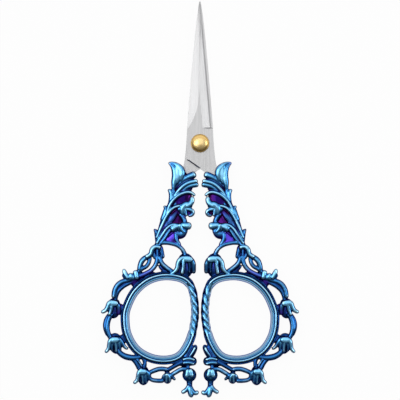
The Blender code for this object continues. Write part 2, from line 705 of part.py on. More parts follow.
def finish(name, colour, roughness, metallic=1.0):
    """A plain Principled material in the piece's own colour."""
    material = bpy.data.materials.new(name)
    material.use_nodes = True
    shader = material.node_tree.nodes["Principled BSDF"]
    shader.inputs["Base Color"].default_value = (*colour, 1.0)
    shader.inputs["Roughness"].default_value = roughness
    shader.inputs["Metallic"].default_value = metallic
    material.diffuse_color = (*colour, 1.0)
    return material


def dress(piece, material, sharp_angle):
    """Gives a piece its finish and smooth shading with crisp ground edges."""
    piece.data.materials.clear()
    piece.data.materials.append(material)
    piece.data.shade_smooth()
    piece.data.set_sharp_from_angle(angle=radians(sharp_angle))


# Assembly

def pivot_empty(name, parent=None):
    """An empty on the pivot axis that carries one half."""
    empty = bpy.data.objects.new(name, None)
    bpy.context.scene.collection.objects.link(empty)
    empty.parent = parent
    return empty


def stand_on_table(root):
    """Moves the whole part so that the origin lies on the table under the middle of it."""
    bpy.context.view_layer.update()
    corners = [
        piece.matrix_world @ vertex.co
        for piece in root.children_recursive if piece.type == "MESH"
        for vertex in piece.data.vertices
    ]
    low = [min(c[i] for c in corners) for i in range(3)]
    high = [max(c[i] for c in corners) for i in range(3)]
    root.location = (-(low[0] + high[0]) / 2, -(low[1] + high[1]) / 2, -low[2])


def main():
    for old in list(bpy.data.objects):
        bpy.data.objects.remove(old)
    steel = finish("ground_steel", (0.62, 0.62, 0.63), 0.3)
    blue = finish("blue_plated_casting", (0.03, 0.16, 0.42), 0.18)
    brass = finish("polished_brass", (0.80, 0.52, 0.14), 0.15)

    frame = pivot_empty("pivot_axis")
    front = pivot_empty("front_half", frame)

    front_blade = make_blade("front_blade")
    right_handle = make_handle("right_handle")
    dress(front_blade, steel, 12)
    dress(right_handle, blue, 50)
    front_blade.parent = front
    right_handle.parent = front

    # The rear half is the same blade and casting turned over about the long axis.
    for name, twin in (("rear_blade", front_blade), ("left_handle", right_handle)):
        piece = bpy.data.objects.new(name, twin.data)
        bpy.context.scene.collection.objects.link(piece)
        piece.rotation_euler = (0, pi, 0)
        piece.parent = frame

    cap = make_cap("pivot_cap")
    screw = make_screw("pivot_screw")
    for piece in (cap, screw):
        dress(piece, brass, 35)
        piece.parent = frame
    stand_on_table(frame)


main()
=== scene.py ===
# %% [markdown]
# # Embroidery scissors with cast lily-of-the-valley handles
#
# A small pair of embroidery scissors has two needle-pointed steel blades, a domed brass pivot and
# two ornamental handles, each cast in one piece and plated a bright blue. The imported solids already
# hold the real sizes, the pieces and the joint. This lesson dresses them: it draws the ornament of
# the castings again with the softness of a wax model, gives the pivot its polished dome, and makes
# the three finishes. We start by loading the solids, because everything is placed against them.

import json
from math import atan2, copysign, cos, degrees, pi, radians, sin, sqrt

import bpy
import numpy as np
from mathutils import Matrix, Vector


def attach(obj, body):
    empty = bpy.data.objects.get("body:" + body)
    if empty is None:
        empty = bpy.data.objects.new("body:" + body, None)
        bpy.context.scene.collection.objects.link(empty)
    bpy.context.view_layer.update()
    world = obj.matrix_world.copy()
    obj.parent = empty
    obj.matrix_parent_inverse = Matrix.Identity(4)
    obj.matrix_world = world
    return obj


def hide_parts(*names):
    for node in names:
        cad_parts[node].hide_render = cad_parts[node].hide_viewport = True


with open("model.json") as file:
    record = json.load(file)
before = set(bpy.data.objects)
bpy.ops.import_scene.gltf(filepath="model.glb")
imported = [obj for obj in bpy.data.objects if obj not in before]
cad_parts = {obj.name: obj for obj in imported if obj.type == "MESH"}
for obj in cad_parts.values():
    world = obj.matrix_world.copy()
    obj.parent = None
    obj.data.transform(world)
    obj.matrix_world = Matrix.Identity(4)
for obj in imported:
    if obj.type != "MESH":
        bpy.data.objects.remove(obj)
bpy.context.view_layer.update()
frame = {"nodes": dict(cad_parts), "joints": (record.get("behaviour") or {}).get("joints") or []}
MM = 0.001
PIVOT = Vector(frame["joints"][0]["pos_m"])
print("loaded", sorted(frame["nodes"]), "pivot at", [round(c / MM, 2) for c in PIVOT], "mm")

# %% [markdown]
# ## Two habits
#
# An operator works on everything that is selected, and a new primitive comes selected all over. So
# the first habit is to deselect everything before each new piece. The second is how a piece ends:
# its modifiers are applied, it rides on the body that carries it, and it gets its material.

# %% Habits
def new_object(name, data):
    """A new object with this data, in the scene."""
    made = bpy.data.objects.new(name, data)
    bpy.context.scene.collection.objects.link(made)
    return made


def start_fresh():
    """Object mode with nothing selected."""
    if bpy.context.mode != "OBJECT":
        bpy.ops.object.mode_set(mode="OBJECT")
    bpy.ops.object.select_all(action="DESELECT")


def take_up(piece):
    """Selects one piece and makes it the active one."""
    start_fresh()
    piece.select_set(True)
    bpy.context.view_layer.objects.active = piece
    return piece


def finish_with(piece, kind, **settings):
    """Adds one modifier with its settings and applies it."""
    take_up(piece)
    step = piece.modifiers.new(kind.title(), kind)
    for name, value in settings.items():
        setattr(step, name, value)
    bpy.ops.object.modifier_apply(modifier=step.name)
    return piece


def dress(piece, body, slot, material, *nodes):
    """Hangs a finished piece on its body, with its finish, in place of the solids it stands for."""
    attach(piece, body)
    if nodes:
        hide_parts(*nodes)
    piece.data.materials.clear()
    piece.data.materials.append(material)
    print(piece.name, len(piece.data.polygons), "faces on", body)


# %% [markdown]
# ## The camera
#
# The photograph looks straight down on the closed scissors from far off, so it shows no
# perspective. A long lens high above the middle of them gives the same view: 126.4 mm of table
# fill the frame from side to side.

# %% Camera
VIEW_WIDTH = 126.4 * MM
VIEW_CENTRE = Vector((0.0, -0.57 * MM, 2.4 * MM))
CAMERA_HEIGHT = 2.0
SENSOR_WIDTH = 36.0

bpy.ops.object.camera_add(location=VIEW_CENTRE + Vector((0, 0, CAMERA_HEIGHT)), rotation=(0, 0, 0))
camera = bpy.context.object
camera.name = "photo_camera"
camera.data.sensor_width = SENSOR_WIDTH
camera.data.lens = SENSOR_WIDTH * CAMERA_HEIGHT / VIEW_WIDTH
camera.data.clip_start = 0.01
camera.data.clip_end = 20.0
bpy.context.scene.camera = camera
print("camera lens", round(camera.data.lens), "mm")

# %% [markdown]
# ## Colours and nodes
#
# Every colour below is written as a painter's hex value and turned to linear light by one function.
# One more function adds a node of any kind, sets its values and links its inputs, so that a
# material reads as a list of what it is made of. For a colour ramp it also sets the stops.

# %% Colour and node helpers
def colour(code):
    """A hex colour as linear red, green, blue and full opacity."""
    parts = [int(code[i:i + 2], 16) / 255 for i in (1, 3, 5)]
    linear = [c / 12.92 if c <= 0.04045 else ((c + 0.055) / 1.055) ** 2.4 for c in parts]
    return (*linear, 1.0)


def new_material(name):
    """An empty node tree with its Principled shader."""
    material = bpy.data.materials.new(name)
    material.use_nodes = True
    return material, material.node_tree, material.node_tree.nodes["Principled BSDF"]


def add(tree, kind, inputs=None, stops=(), **settings):
    """One node with its settings and inputs, each a plain value or another node's output. The stops
    of a colour ramp are (place, hex colour) pairs."""
    made = tree.nodes.new("ShaderNode" + kind)
    for name, value in settings.items():
        setattr(made, name, value)
    for name, value in (inputs or {}).items():
        if isinstance(value, bpy.types.NodeSocket):
            tree.links.new(value, made.inputs[name])
        else:
            made.inputs[name].default_value = value
    for _ in stops[2:]:
        made.color_ramp.elements.new(0.5)
    for element, (place, code) in zip(made.color_ramp.elements if stops else (), stops):
        element.position = place
        element.color = colour(code)
    return made


print("pale gold in linear light:", [round(c, 3) for c in colour("#f0d69c")])

# %% [markdown]
# ## The plated casting
#
# The handles are a zinc alloy casting, polished bright, and plated with a thin blue ceramic film in
# a vacuum. The blue is painted lighter or darker by how the metal faces, as painted light and shade:
# sky blue on the tops that face up, then deep blue and navy on the slopes, and blue again on sheer
# sides, as a painted reflection. Crests that face up get a near-white painted highlight. In hollows
# the film has a crimson tint on the stem and violet further down, in patches, darkened there as
# painted shade. The edge of the finger hole gets a pale silvery blue painted highlight, less of it
# on its sheer wall, which keeps more of the deep blue.
#
# Four numbers on each point of the mesh carry that: facing, how far the metal looks up or down,
# hollow, how deep it lies between its neighbours, crest, how far it stands out from them, and
# inside, how near it is to the hole. They are measured further down, once the casting is made.

# %% Blue plating
blue_plating, tree, shader = new_material("blue_plated_zinc_casting")
facing, hollow, inside, crest = (
    add(tree, "Attribute", attribute_name=name).outputs["Fac"]
    for name in ("facing", "hollow", "inside", "crest"))
place = add(tree, "TexCoord").outputs["Object"]
# Painted light and shade by facing: sky blue on tops that face up, navy on the slopes, and blue again
# on sheer sides as a painted reflection.
painted_shading = add(tree, "ValToRGB", {"Fac": facing}, stops=(
    (0.0, "#1c4e96"), (0.16, "#12367a"), (0.3, "#0a1c48"), (0.44, "#0a2052"),
    (0.72, "#184586"), (0.88, "#3678b6"), (0.95, "#5ca8da"), (1.0, "#84c8f0"))).outputs["Color"]
# Crests that face up are mixed towards a near-white blue: a painted highlight.
raised = add(tree, "Math", {0: crest, 1: facing}, operation="MULTIPLY").outputs[0]
crest_highlight = add(tree, "MapRange", {"Value": raised, "From Min": 0.5, "From Max": 0.95}).outputs["Result"]
painted_shading = add(tree, "Mix", {0: crest_highlight, 6: painted_shading, 7: colour("#b0e4fc")}, data_type="RGBA").outputs[2]
print("film of", len(tree.nodes), "nodes")

# %% [markdown]
# In the hollows a soft noise decides between crimson and violet, in patches about 3 mm across, and
# both are darkened as painted shade. It is pushed towards violet over the foot of the stem, 8.5 to
# 12.5 mm below the middle of the scissors.

# %% Film in the hollows
PATCHES_PER_METRE = 350.0
CRIMSON_ABOVE, VIOLET_BELOW = -8.5 * MM, -12.5 * MM

# Both tints go dark where the metal faces away: painted shade in the hollows, over their own crimson
# and violet.
bronze = add(tree, "ValToRGB", {"Fac": facing}, stops=(
    (0.0, "#4a1020"), (0.35, "#963648"), (0.52, "#481450"), (0.74, "#20105a"),
    (1.0, "#34165c"))).outputs["Color"]
violet = add(tree, "ValToRGB", {"Fac": facing}, stops=(
    (0.0, "#160a2c"), (0.4, "#2a0f60"), (0.6, "#38208c"), (0.8, "#5840cc"))).outputs["Color"]
patches = add(tree, "TexNoise", {
    "Vector": place, "Scale": PATCHES_PER_METRE, "Detail": 1.0}).outputs["Fac"]
along = add(tree, "SeparateXYZ", {"Vector": place}).outputs["Y"]
drift = add(tree, "MapRange", {"Value": along, "From Min": CRIMSON_ABOVE, "From Max": VIOLET_BELOW,
                              "To Min": -0.06, "To Max": 0.3}).outputs["Result"]
patches = add(tree, "Math", {0: patches, 1: drift}, operation="ADD").outputs[0]
turn = add(tree, "MapRange", {"Value": patches, "From Min": 0.5, "From Max": 0.66}).outputs["Result"]
hollow_tint_and_shade = add(tree, "Mix", {0: turn, 6: bronze, 7: violet}, data_type="RGBA").outputs[2]
# The hollows take that tint together with its painted shade.
tone = add(tree, "Mix", {0: hollow, 6: painted_shading, 7: hollow_tint_and_shade}, data_type="RGBA").outputs[2]
print("with the hollows", len(tree.nodes), "nodes")

# %% [markdown]
# The edge of the hole gets a pale painted highlight, less of it on the sheer wall. Buffing by hand
# also leaves a faint ripple all over, in waves about 1 mm long. The film is clear and the metal under
# it bright, so the finish is a metal with a high polish, whose glancing reflections are tinted blue.

# %% Painted highlight on the hole's edge, and polish
RIPPLES_PER_METRE, RIPPLE_DEPTH = 900.0, 0.08 * MM

# A pale painted highlight along the edge of the finger hole, kept off its sheer wall.
hole_edge_highlight = add(tree, "ValToRGB", {"Fac": inside}, stops=(
    (0.0, "#3a7cb0"), (0.4, "#5a98c4"), (0.7, "#9ab8d0"), (1.0, "#d6e0ea"))).outputs["Color"]
edge = add(tree, "Math", {0: inside, 1: 3.0}, operation="MULTIPLY", use_clamp=True).outputs[0]
wall = add(tree, "MapRange", {"Value": facing, "From Max": 0.3, "To Min": 0.3}).outputs["Result"]
edge = add(tree, "Math", {0: edge, 1: wall}, operation="MULTIPLY").outputs[0]
tone = add(tree, "Mix", {0: edge, 6: tone, 7: hole_edge_highlight}, data_type="RGBA").outputs[2]
tree.links.new(tone, shader.inputs["Base Color"])
ripple = add(tree, "TexNoise", {
    "Vector": place, "Scale": RIPPLES_PER_METRE, "Detail": 2.0}).outputs["Fac"]
bump = add(tree, "Bump", {"Height": ripple, "Strength": 0.3, "Distance": RIPPLE_DEPTH})
tree.links.new(bump.outputs["Normal"], shader.inputs["Normal"])
shader.inputs["Metallic"].default_value = 1.0
shader.inputs["Roughness"].default_value = 0.15
shader.inputs["Specular Tint"].default_value = colour("#4a5fa8")
print("plating of", len(tree.nodes), "nodes")

# %% [markdown]
# ## Ground steel
#
# The blades are stainless steel, ground on a wheel and left satin. The last pass runs along the
# blade, so its fine lines do too, a few hundredths of a millimetre apart. Lines that fine can't show
# in a picture this size, so they are drawn 0.3 mm apart, 3300 to a metre, and 8 mm long, as faint
# changes of tone, roughness and height.

# %% Satin ground steel
LINES_ACROSS, LINES_ALONG = 3300.0, 120.0
LINE_DEPTH = 0.02 * MM

ground_steel, tree, shader = new_material("satin_ground_stainless_steel")
place = add(tree, "TexCoord").outputs["Object"]
along = add(tree, "Mapping", {
    "Vector": place, "Scale": (LINES_ACROSS, LINES_ALONG, LINES_ACROSS)}).outputs["Vector"]
lines = add(tree, "TexNoise", {"Vector": along, "Scale": 1.0, "Detail": 2.0}).outputs["Fac"]
grain = add(tree, "MapRange", {"Value": lines, "To Min": 0.34, "To Max": 0.44})
tree.links.new(grain.outputs["Result"], shader.inputs["Roughness"])
tone = add(tree, "ValToRGB", {"Fac": lines}, stops=((0.3, "#b9b9ba"), (0.7, "#c8c8c9")))
tree.links.new(tone.outputs["Color"], shader.inputs["Base Color"])
bump = add(tree, "Bump", {"Height": lines, "Strength": 0.1, "Distance": LINE_DEPTH})
tree.links.new(bump.outputs["Normal"], shader.inputs["Normal"])
shader.inputs["Metallic"].default_value = 1.0
print("steel of", len(tree.nodes), "nodes")

# %% [markdown]
# ## Polished brass
#
# The cap is turned brass, buffed bright. Buffing leaves it almost a mirror, with a slight haze in
# clouds about 1 mm across. Its crown is painted a pale gold as painted light, and towards the rim the
# gold is painted deeper as painted shade, so the tone follows the distance from the pivot's axis.

# %% Polished brass
HAZE_PER_METRE = 900.0
PALE_WITHIN, DEEP_FROM = 1.3 * MM, 2.9 * MM

polished_brass, tree, shader = new_material("polished_turned_brass")
place = add(tree, "TexCoord").outputs["Object"]
haze = add(tree, "TexNoise", {"Vector": place, "Scale": HAZE_PER_METRE, "Detail": 3.0}).outputs["Fac"]
dulled = add(tree, "MapRange", {"Value": haze, "To Min": 0.2, "To Max": 0.3}).outputs["Result"]
tree.links.new(dulled, shader.inputs["Roughness"])
# Painted light and shade: pale gold over the crown, deeper gold towards the rim.
offset = add(tree, "VectorMath", {0: place, 1: PIVOT}, operation="SUBTRACT").outputs["Vector"]
offset = add(tree, "VectorMath", {0: offset, 1: (1, 1, 0)}, operation="MULTIPLY").outputs["Vector"]
off_axis = add(tree, "VectorMath", {0: offset}, operation="LENGTH").outputs["Value"]
painted_rim_shade = add(tree, "MapRange", {
    "Value": off_axis, "From Min": PALE_WITHIN, "From Max": DEEP_FROM}).outputs["Result"]
crown = add(tree, "ValToRGB", {"Fac": haze}, stops=(
    (0.3, "#eaca8a"), (0.7, "#f0d69c"))).outputs["Color"]
tone = add(tree, "Mix", {0: painted_rim_shade, 6: crown, 7: colour("#e4b866")}, data_type="RGBA").outputs[2]
tree.links.new(tone, shader.inputs["Base Color"])
shader.inputs["Metallic"].default_value = 1.0
print("brass of", len(tree.nodes), "nodes")

# %% [markdown]
# ## The curves of the ornament
#
# Each leaf, petal and vine is given in millimetres to the right of the pivot and below it, the
# measures a wax carver would take off a drawing. The bow is drawn about its own middle, with the
# same outline as in the part's source.

# %% Where things lie on the handle
HOLE_WIDTH, HOLE_HEIGHT, BAND_WIDTH = 20.1, 24.6, 2.45
HALF_GAP, BOW_DROP = 0.15, 55.2
BOW_MIDDLE = Vector((HOLE_WIDTH / 2 + BAND_WIDTH + HALF_GAP, -BOW_DROP))
STEPS_PER_SPAN = 8
HOLE_OUTLINE = (
    (0.953, 0.234), (0.708, 0.632), (0.267, 0.92), (-0.3, 1.0), (-0.833, 0.838),
    (-0.997, 0.26), (-0.937, -0.28), (-0.8, -0.627), (-0.55, -0.91), (-0.173, -1.0),
    (0.267, -0.949), (0.676, -0.75), (0.928, -0.409), (0.997, -0.05),
)


def smooth_ring(points, per_span):
    """Points on a smooth closed curve through the given ones."""
    count, ring = len(points), []
    for i in range(count):
        a, b, c, d = (Vector(points[(i + k - 1) % count]) for k in range(4))
        for j in range(per_span):
            t = j / per_span
            ring.append(0.5 * (2 * b + (c - a) * t + (2 * a - 5 * b + 4 * c - d) * t * t
                               + (3 * b - a - 3 * c + d) * t ** 3))
    return ring


def right_of(direction):
    """The direction a quarter turn to the right of this one."""
    return Vector((direction.y, -direction.x)).normalized()


def turn_of(point):
    """The angle at which a point lies about the bow's middle, in degrees."""
    return degrees(atan2(point.y, point.x)) % 360


EDGE = smooth_ring([(x * HOLE_WIDTH / 2, y * HOLE_HEIGHT / 2) for x, y in HOLE_OUTLINE], STEPS_PER_SPAN)
EDGE_OUT = [right_of(EDGE[(i + 1) % len(EDGE)] - EDGE[i - 1]) for i in range(len(EDGE))]
RIM = [p + out * BAND_WIDTH for p, out in zip(EDGE, EDGE_OUT)]


def ring_reach(ring, turns):
    """How far a ring lies from the bow's middle, at these angles."""
    return np.interp(turns, *zip(*sorted((turn_of(p), p.length) for p in ring)), period=360)


def on_handle(right, below):
    """A point by its millimetres to the right of the pivot and below it."""
    return Vector((right, -below, 0))


print("the bow's middle lies at", BOW_MIDDLE)

# %% [markdown]
# ## One strand of wax
#
# A caster's modeller rolls strands of wax and lays them along drawn lines. We do the same. One
# straight strand is modelled once: a circle, drawn out ring by ring to a rod one long and one in
# radius, with both ends rounded over. Each leaf, vine and petal is then a copy of it, bent along
# its own curve by a Curve modifier, which also thins and thickens it by the radius of each point.

# %% The straight strands
STRAND_SIDES, BODY_RINGS = 16, 32
END_SHARES = (0.03, 0.06, 0.1, 0.16, 0.25, 0.38)
CIRCLE_STEPS = (0.05, 0.3, 0.6, 0.85, 1.0)


def draw_out(rings, axis):
    """Draws the selected end out ring by ring, each given by its (place, radius) on the axis."""
    across = Vector((1, 1, 1)) - axis
    for (place0, radius0), (place1, radius1) in zip(rings, rings[1:]):
        bpy.ops.mesh.extrude_region_move(TRANSFORM_OT_translate={"value": axis * (place1 - place0)})
        bpy.ops.transform.resize(
            value=axis + across * (radius1 / radius0), center_override=axis * place1)
    bpy.ops.mesh.select_all(action="SELECT")
    bpy.ops.mesh.normals_make_consistent(inside=False)


def straight_strand(end_share):
    """A closed rod along X from 0 to 1, radius 1, whose ends are rounded over this share of it."""
    ends = [(end_share * (1 - sqrt(1 - s * s)), s) for s in CIRCLE_STEPS]
    body = [(x, 1.0) for x in np.linspace(end_share, 1 - end_share, BODY_RINGS + 2)[1:-1]]
    rings = ends + body + [(1 - x, s) for x, s in reversed(ends)]
    start_fresh()
    bpy.ops.mesh.primitive_circle_add(
        vertices=STRAND_SIDES, radius=rings[0][1], fill_type="NGON", rotation=(0, pi / 2, 0))
    rod = bpy.context.object
    rod.name = "wax_strand"
    bpy.ops.object.transform_apply(rotation=True)
    bpy.ops.object.mode_set(mode="EDIT")
    bpy.ops.mesh.select_all(action="SELECT")
    draw_out(rings, Vector((1, 0, 0)))
    bpy.ops.object.mode_set(mode="OBJECT")
    return rod


STRANDS = {share: straight_strand(share) for share in END_SHARES}
print("straight strands:", len(STRANDS))

# %% [markdown]
# A short thick strand and a long thin one would look different at their ends if the same rod were
# stretched to both, so there is a rod for each share of the length that the ends take up, and each
# strand starts from the rod that suits it best.

# %% Bend a strand along a curve
def bent(name, points, radii):
    """A copy of the strand along a smooth curve through the points, this thick at each."""
    line = bpy.data.curves.new(name, "CURVE")
    line.dimensions, line.twist_mode = "3D", "Z_UP"
    line.use_radius = line.use_stretch = line.use_deform_bounds = True
    path = line.splines.new("BEZIER")
    path.radius_interpolation = "CARDINAL"
    path.bezier_points.add(len(points) - 1)
    for knot, point, radius in zip(path.bezier_points, points, radii):
        knot.co, knot.radius = point, radius
        knot.handle_left_type = knot.handle_right_type = "AUTO"
    guide = new_object(name + "_guide", line)
    length = sum((Vector(b) - Vector(a)).length for a, b in zip(points, points[1:]))
    end_share = min(STRANDS, key=lambda share: abs(share - (radii[0] + radii[-1]) / 2 / length))
    piece = new_object(name, STRANDS[end_share].data.copy())
    finish_with(piece, "CURVE", object=guide, deform_axis="POS_X")
    bpy.data.objects.remove(guide)
    return piece


# %% [markdown]
# A bent strand is round all along. The castings are two-sided, so each strand is then pulled apart
# into a front and a back, level with the crests that the table gives, and flattened as its dome says.

# %% Spread a strand to front and back
ON_THE_MIDDLE = 0.001


def spread(piece, lifts, dome=1.0):
    """Moves the front and back of a piece apart, flattened by dome, by the first lift at its start
    and the second at its end. The rod's points are in order from its start to its end."""
    last = len(piece.data.vertices) - 1
    for vertex in piece.data.vertices:
        height = vertex.co.z * dome
        if abs(height) > ON_THE_MIDDLE:
            lift = lifts[0] + (lifts[1] - lifts[0]) * vertex.index / last
            height += copysign(lift, height)
        vertex.co.z = height
    return piece


def flat_strand(name, rise, dome, run):
    """A strand in the plane of the casting, its crest this many mm above the middle, or from one
    height to another. The run goes from the middle of one round end to that of the other."""
    widths = [width for *_, width in run]
    rises = rise if isinstance(rise, tuple) else (rise, rise)
    points = [on_handle(right, below) for right, below, _ in run]
    points[0] = points[0] + (points[0] - points[1]).normalized() * widths[0]
    points[-1] = points[-1] + (points[-1] - points[-2]).normalized() * widths[-1]
    lifts = [max(height - dome * max(widths), 0) for height in rises]
    return spread(bent(name, points, widths), lifts, dome)


# %% [markdown]
# ## The stem
#
# The stem is a bundle of acanthus leaves over a solid heart that holds the blade's tang. Each line
# of the table is one leaf or lobe: how high its crest stands, how domed it is, then its points from
# root to tip as millimetres right of and below the pivot with the half width. The heart lies lower
# than the leaves, so that the gaps between them are the deep hollows of the photograph.

# %% Leaves of the stem
STEM_LEAVES = {
    "crown_leaf_outer": (2.05, 0.6, [(8.4, 14.8, 0.51), (8.2, 12.5, 0.95), (7.9, 10.0, 1.04),
        (8.4, 7.8, 0.82), (9.7, 6.3, 0.32)]),
    "crown_leaf_inner": (2.15, 0.6, [(6.1, 11.6, 0.57), (5.8, 10.3, 1.07), (5.9, 8.6, 1.14),
        (7.0, 7.2, 0.95), (8.3, 6.4, 0.6), (9.5, 6.1, 0.28)]),
    "top_lobe": (2.0, 0.7, [(8.1, 14.4, 0.51), (6.3, 12.5, 0.76), (4.3, 10.9, 1.01),
        (2.3, 10.1, 1.17)]),
    "top_lobe_edge": (1.7, 0.7, [(6.6, 14.0, 0.57), (5.2, 12.4, 0.7), (3.8, 11.6, 0.73),
        (2.5, 11.5, 0.51)]),
    "second_lobe": (2.2, 0.7, [(8.5, 17.3, 0.44), (6.5, 14.6, 0.63), (4.1, 12.7, 0.7),
        (1.4, 12.0, 0.73)]),
    "second_lobe_low": (1.95, 0.7, [(8.2, 18.2, 0.47), (6.3, 16.1, 0.63), (4.1, 13.9, 0.82),
        (1.4, 13.1, 0.95)]),
    "third_leaf": (2.25, 0.95, [(10.7, 23.3, 0.54), (9.7, 19.8, 0.63), (8.0, 17.4, 0.66),
        (5.5, 15.8, 0.66), (3.2, 15.5, 0.6), (1.9, 16.3, 0.47)]),
    "third_leaf_low": (1.75, 0.7, [(10.4, 24.2, 0.41), (9.1, 21.2, 0.47), (7.7, 19.0, 0.44)]),
    "third_lobe": (2.2, 0.6, [(2.5, 17.5, 0.7), (2.8, 18.7, 0.95), (3.8, 19.5, 1.01)]),
    "third_tail": (2.0, 0.6, [(4.7, 20.9, 0.7), (4.6, 21.8, 0.6), (4.4, 22.7, 0.44)]),
    "third_curl": ((2.1, 1.7), 0.7, [(4.1, 20.8, 0.57), (3.1, 21.0, 0.66), (2.3, 21.6, 0.66),
        (2.5, 22.5, 0.63), (3.3, 22.7, 0.57)]),
    "curl_cup": (1.3, 0.6, [(4.1, 21.6, 0.85), (3.2, 21.8, 0.85)]),
    "fourth_leaf": (2.25, 0.95, [(13.6, 29.6, 0.57), (12.0, 25.8, 0.66), (10.2, 22.3, 0.66),
        (8.4, 20.4, 0.6), (6.6, 19.8, 0.51)]),
    "fourth_leaf_low": (1.7, 0.7, [(12.7, 30.2, 0.41), (11.5, 27.5, 0.47), (10.3, 25.0, 0.44)]),
    "fourth_belly": (1.68, 0.35, [(7.2, 21.6, 0.51), (8.1, 22.7, 0.88), (9.2, 24.1, 1.01),
        (10.1, 25.7, 0.82), (10.7, 26.8, 0.44)]),
    "fourth_edge": (1.8, 0.8, [(6.2, 22.5, 0.73), (5.1, 23.9, 0.82), (4.8, 25.3, 0.76)]),
    "fourth_lobe": (2.35, 0.6, [(4.0, 26.1, 1.36), (5.4, 25.9, 1.04), (6.2, 25.9, 0.66)]),
    "fourth_lobe_middle": (2.3, 0.6, [(6.6, 26.1, 0.76), (7.7, 26.4, 0.98), (8.4, 26.9, 1.07)]),
    "fourth_lobe_low": (1.8, 0.4, [(5.2, 26.9, 1.14), (5.3, 28.2, 1.2), (6.4, 28.7, 1.07),
        (7.4, 28.2, 0.88)]),
    "fourth_lobe_back": (1.3, 0.7, [(4.6, 27.2, 0.51), (4.7, 28.5, 0.54), (5.7, 29.6, 0.54),
        (7.4, 29.7, 0.47)]),
    "fifth_leaf": (2.25, 0.95, [(13.6, 31.5, 0.57), (12.0, 29.0, 0.66), (10.4, 26.8, 0.63),
        (8.8, 25.8, 0.6), (7.3, 25.8, 0.51)]),
    "fifth_leaf_low": (1.9, 0.95, [(12.5, 31.7, 0.51), (11.0, 29.7, 0.6), (9.8, 27.8, 0.57),
        (9.0, 27.0, 0.51)]),
    "foot_edge": (1.8, 0.75, [(7.6, 28.7, 0.73), (7.5, 30.2, 0.73), (6.6, 31.9, 0.7)]),
    "outer_rib": (1.9, 0.75, [(8.5, 15.1, 0.66), (9.0, 17.3, 0.73), (9.6, 19.5, 0.76),
        (11.0, 22.4, 0.79), (12.3, 26.3, 0.79), (13.2, 30.3, 0.76)]),
    "outer_tip_top": (1.95, 0.75, [(9.3, 18.5, 0.79), (9.1, 16.3, 0.79), (9.4, 15.2, 0.73),
        (9.8, 14.9, 0.44)]),
    "outer_tip_middle": (1.95, 0.75, [(11.8, 23.9, 0.79), (11.0, 21.6, 0.79), (10.8, 20.6, 0.7),
        (11.2, 20.1, 0.44)]),
    "outer_tip_low": (1.95, 0.75, [(13.3, 30.9, 0.92), (13.5, 29.0, 0.92), (13.8, 28.0, 0.76),
        (14.3, 27.4, 0.44)]),
    "arch": (1.8, 0.75, [(13.6, 31.8, 0.73), (11.4, 31.4, 0.73), (9.2, 31.6, 0.73), (6.9, 32.4, 0.7),
        (5.4, 33.8, 0.66), (4.6, 35.6, 0.63)]),
    "tang_heart": (1.5, 0.3, [(5.4, 9.9, 1.11), (5.4, 11.3, 2.05), (5.5, 13.3, 2.62), (5.8, 16.0, 3.25),
        (6.5, 18.5, 3.41), (7.1, 20.4, 2.94), (7.3, 21.4, 1.67)]),
    "foot_heart": (1.15, 0.3, [(6.6, 18.5, 1.26), (7.1, 20.1, 2.53), (7.7, 23.0, 2.84),
        (8.5, 25.8, 2.94), (9.3, 28.3, 2.84), (9.9, 29.9, 2.37), (10.0, 30.7, 1.26)]),
    "crown_valley": (2.05, 0.3, [(7.1, 7.0, 0.76), (6.9, 8.8, 1.14), (7.0, 10.6, 1.07),
        (7.4, 12.2, 0.63)]),
    "second_lobe_foot": (1.55, 0.6, [(7.0, 17.4, 0.51), (5.1, 15.5, 0.63), (3.0, 14.4, 0.63)]),
    "third_lobe_middle": ((2.25, 2.0), 0.6, [(4.0, 19.3, 0.88), (5.1, 19.8, 1.07), (5.6, 21.0, 1.07),
        (5.5, 22.2, 0.76)]),
    "third_lobe_root": (1.95, 0.6, [(6.0, 19.9, 0.88), (6.6, 20.9, 0.7)]),
    "third_tail_inner": ((2.15, 1.9), 0.6, [(4.2, 20.0, 0.57), (3.3, 20.1, 0.54), (2.8, 19.9, 0.41)]),
    "fourth_lobe_finger": ((2.1, 1.8), 0.7, [(6.9, 26.8, 0.51), (6.5, 27.7, 0.44)]),
    "foot_fill": (1.55, 0.15, [(8.1, 29.5, 1.26), (9.3, 30.7, 1.39)]),
    "fourth_lobe_ridge": ((2.3, 2.0), 0.6, [(6.3, 26.0, 0.63), (6.1, 26.8, 0.6), (5.6, 27.5, 0.54),
        (5.1, 28.0, 0.44)]),
    "fourth_lobe_finger_right": ((2.1, 1.8), 0.7, [(7.7, 27.0, 0.51), (7.5, 27.8, 0.44)]),
}
wax = [flat_strand(name, *leaf) for name, leaf in STEM_LEAVES.items()]
print("stem of", len(wax), "strands")

# %% [markdown]
# ## The vine
#
# An undulating vine runs round the outside of the bow and carries the flowers. In places it is two
# strands laid side by side, and short stalks and thin webs tie it to the bow. Each is given by how
# high it stands, how domed it is, and its points as millimetres right of and below the pivot with
# its half width.

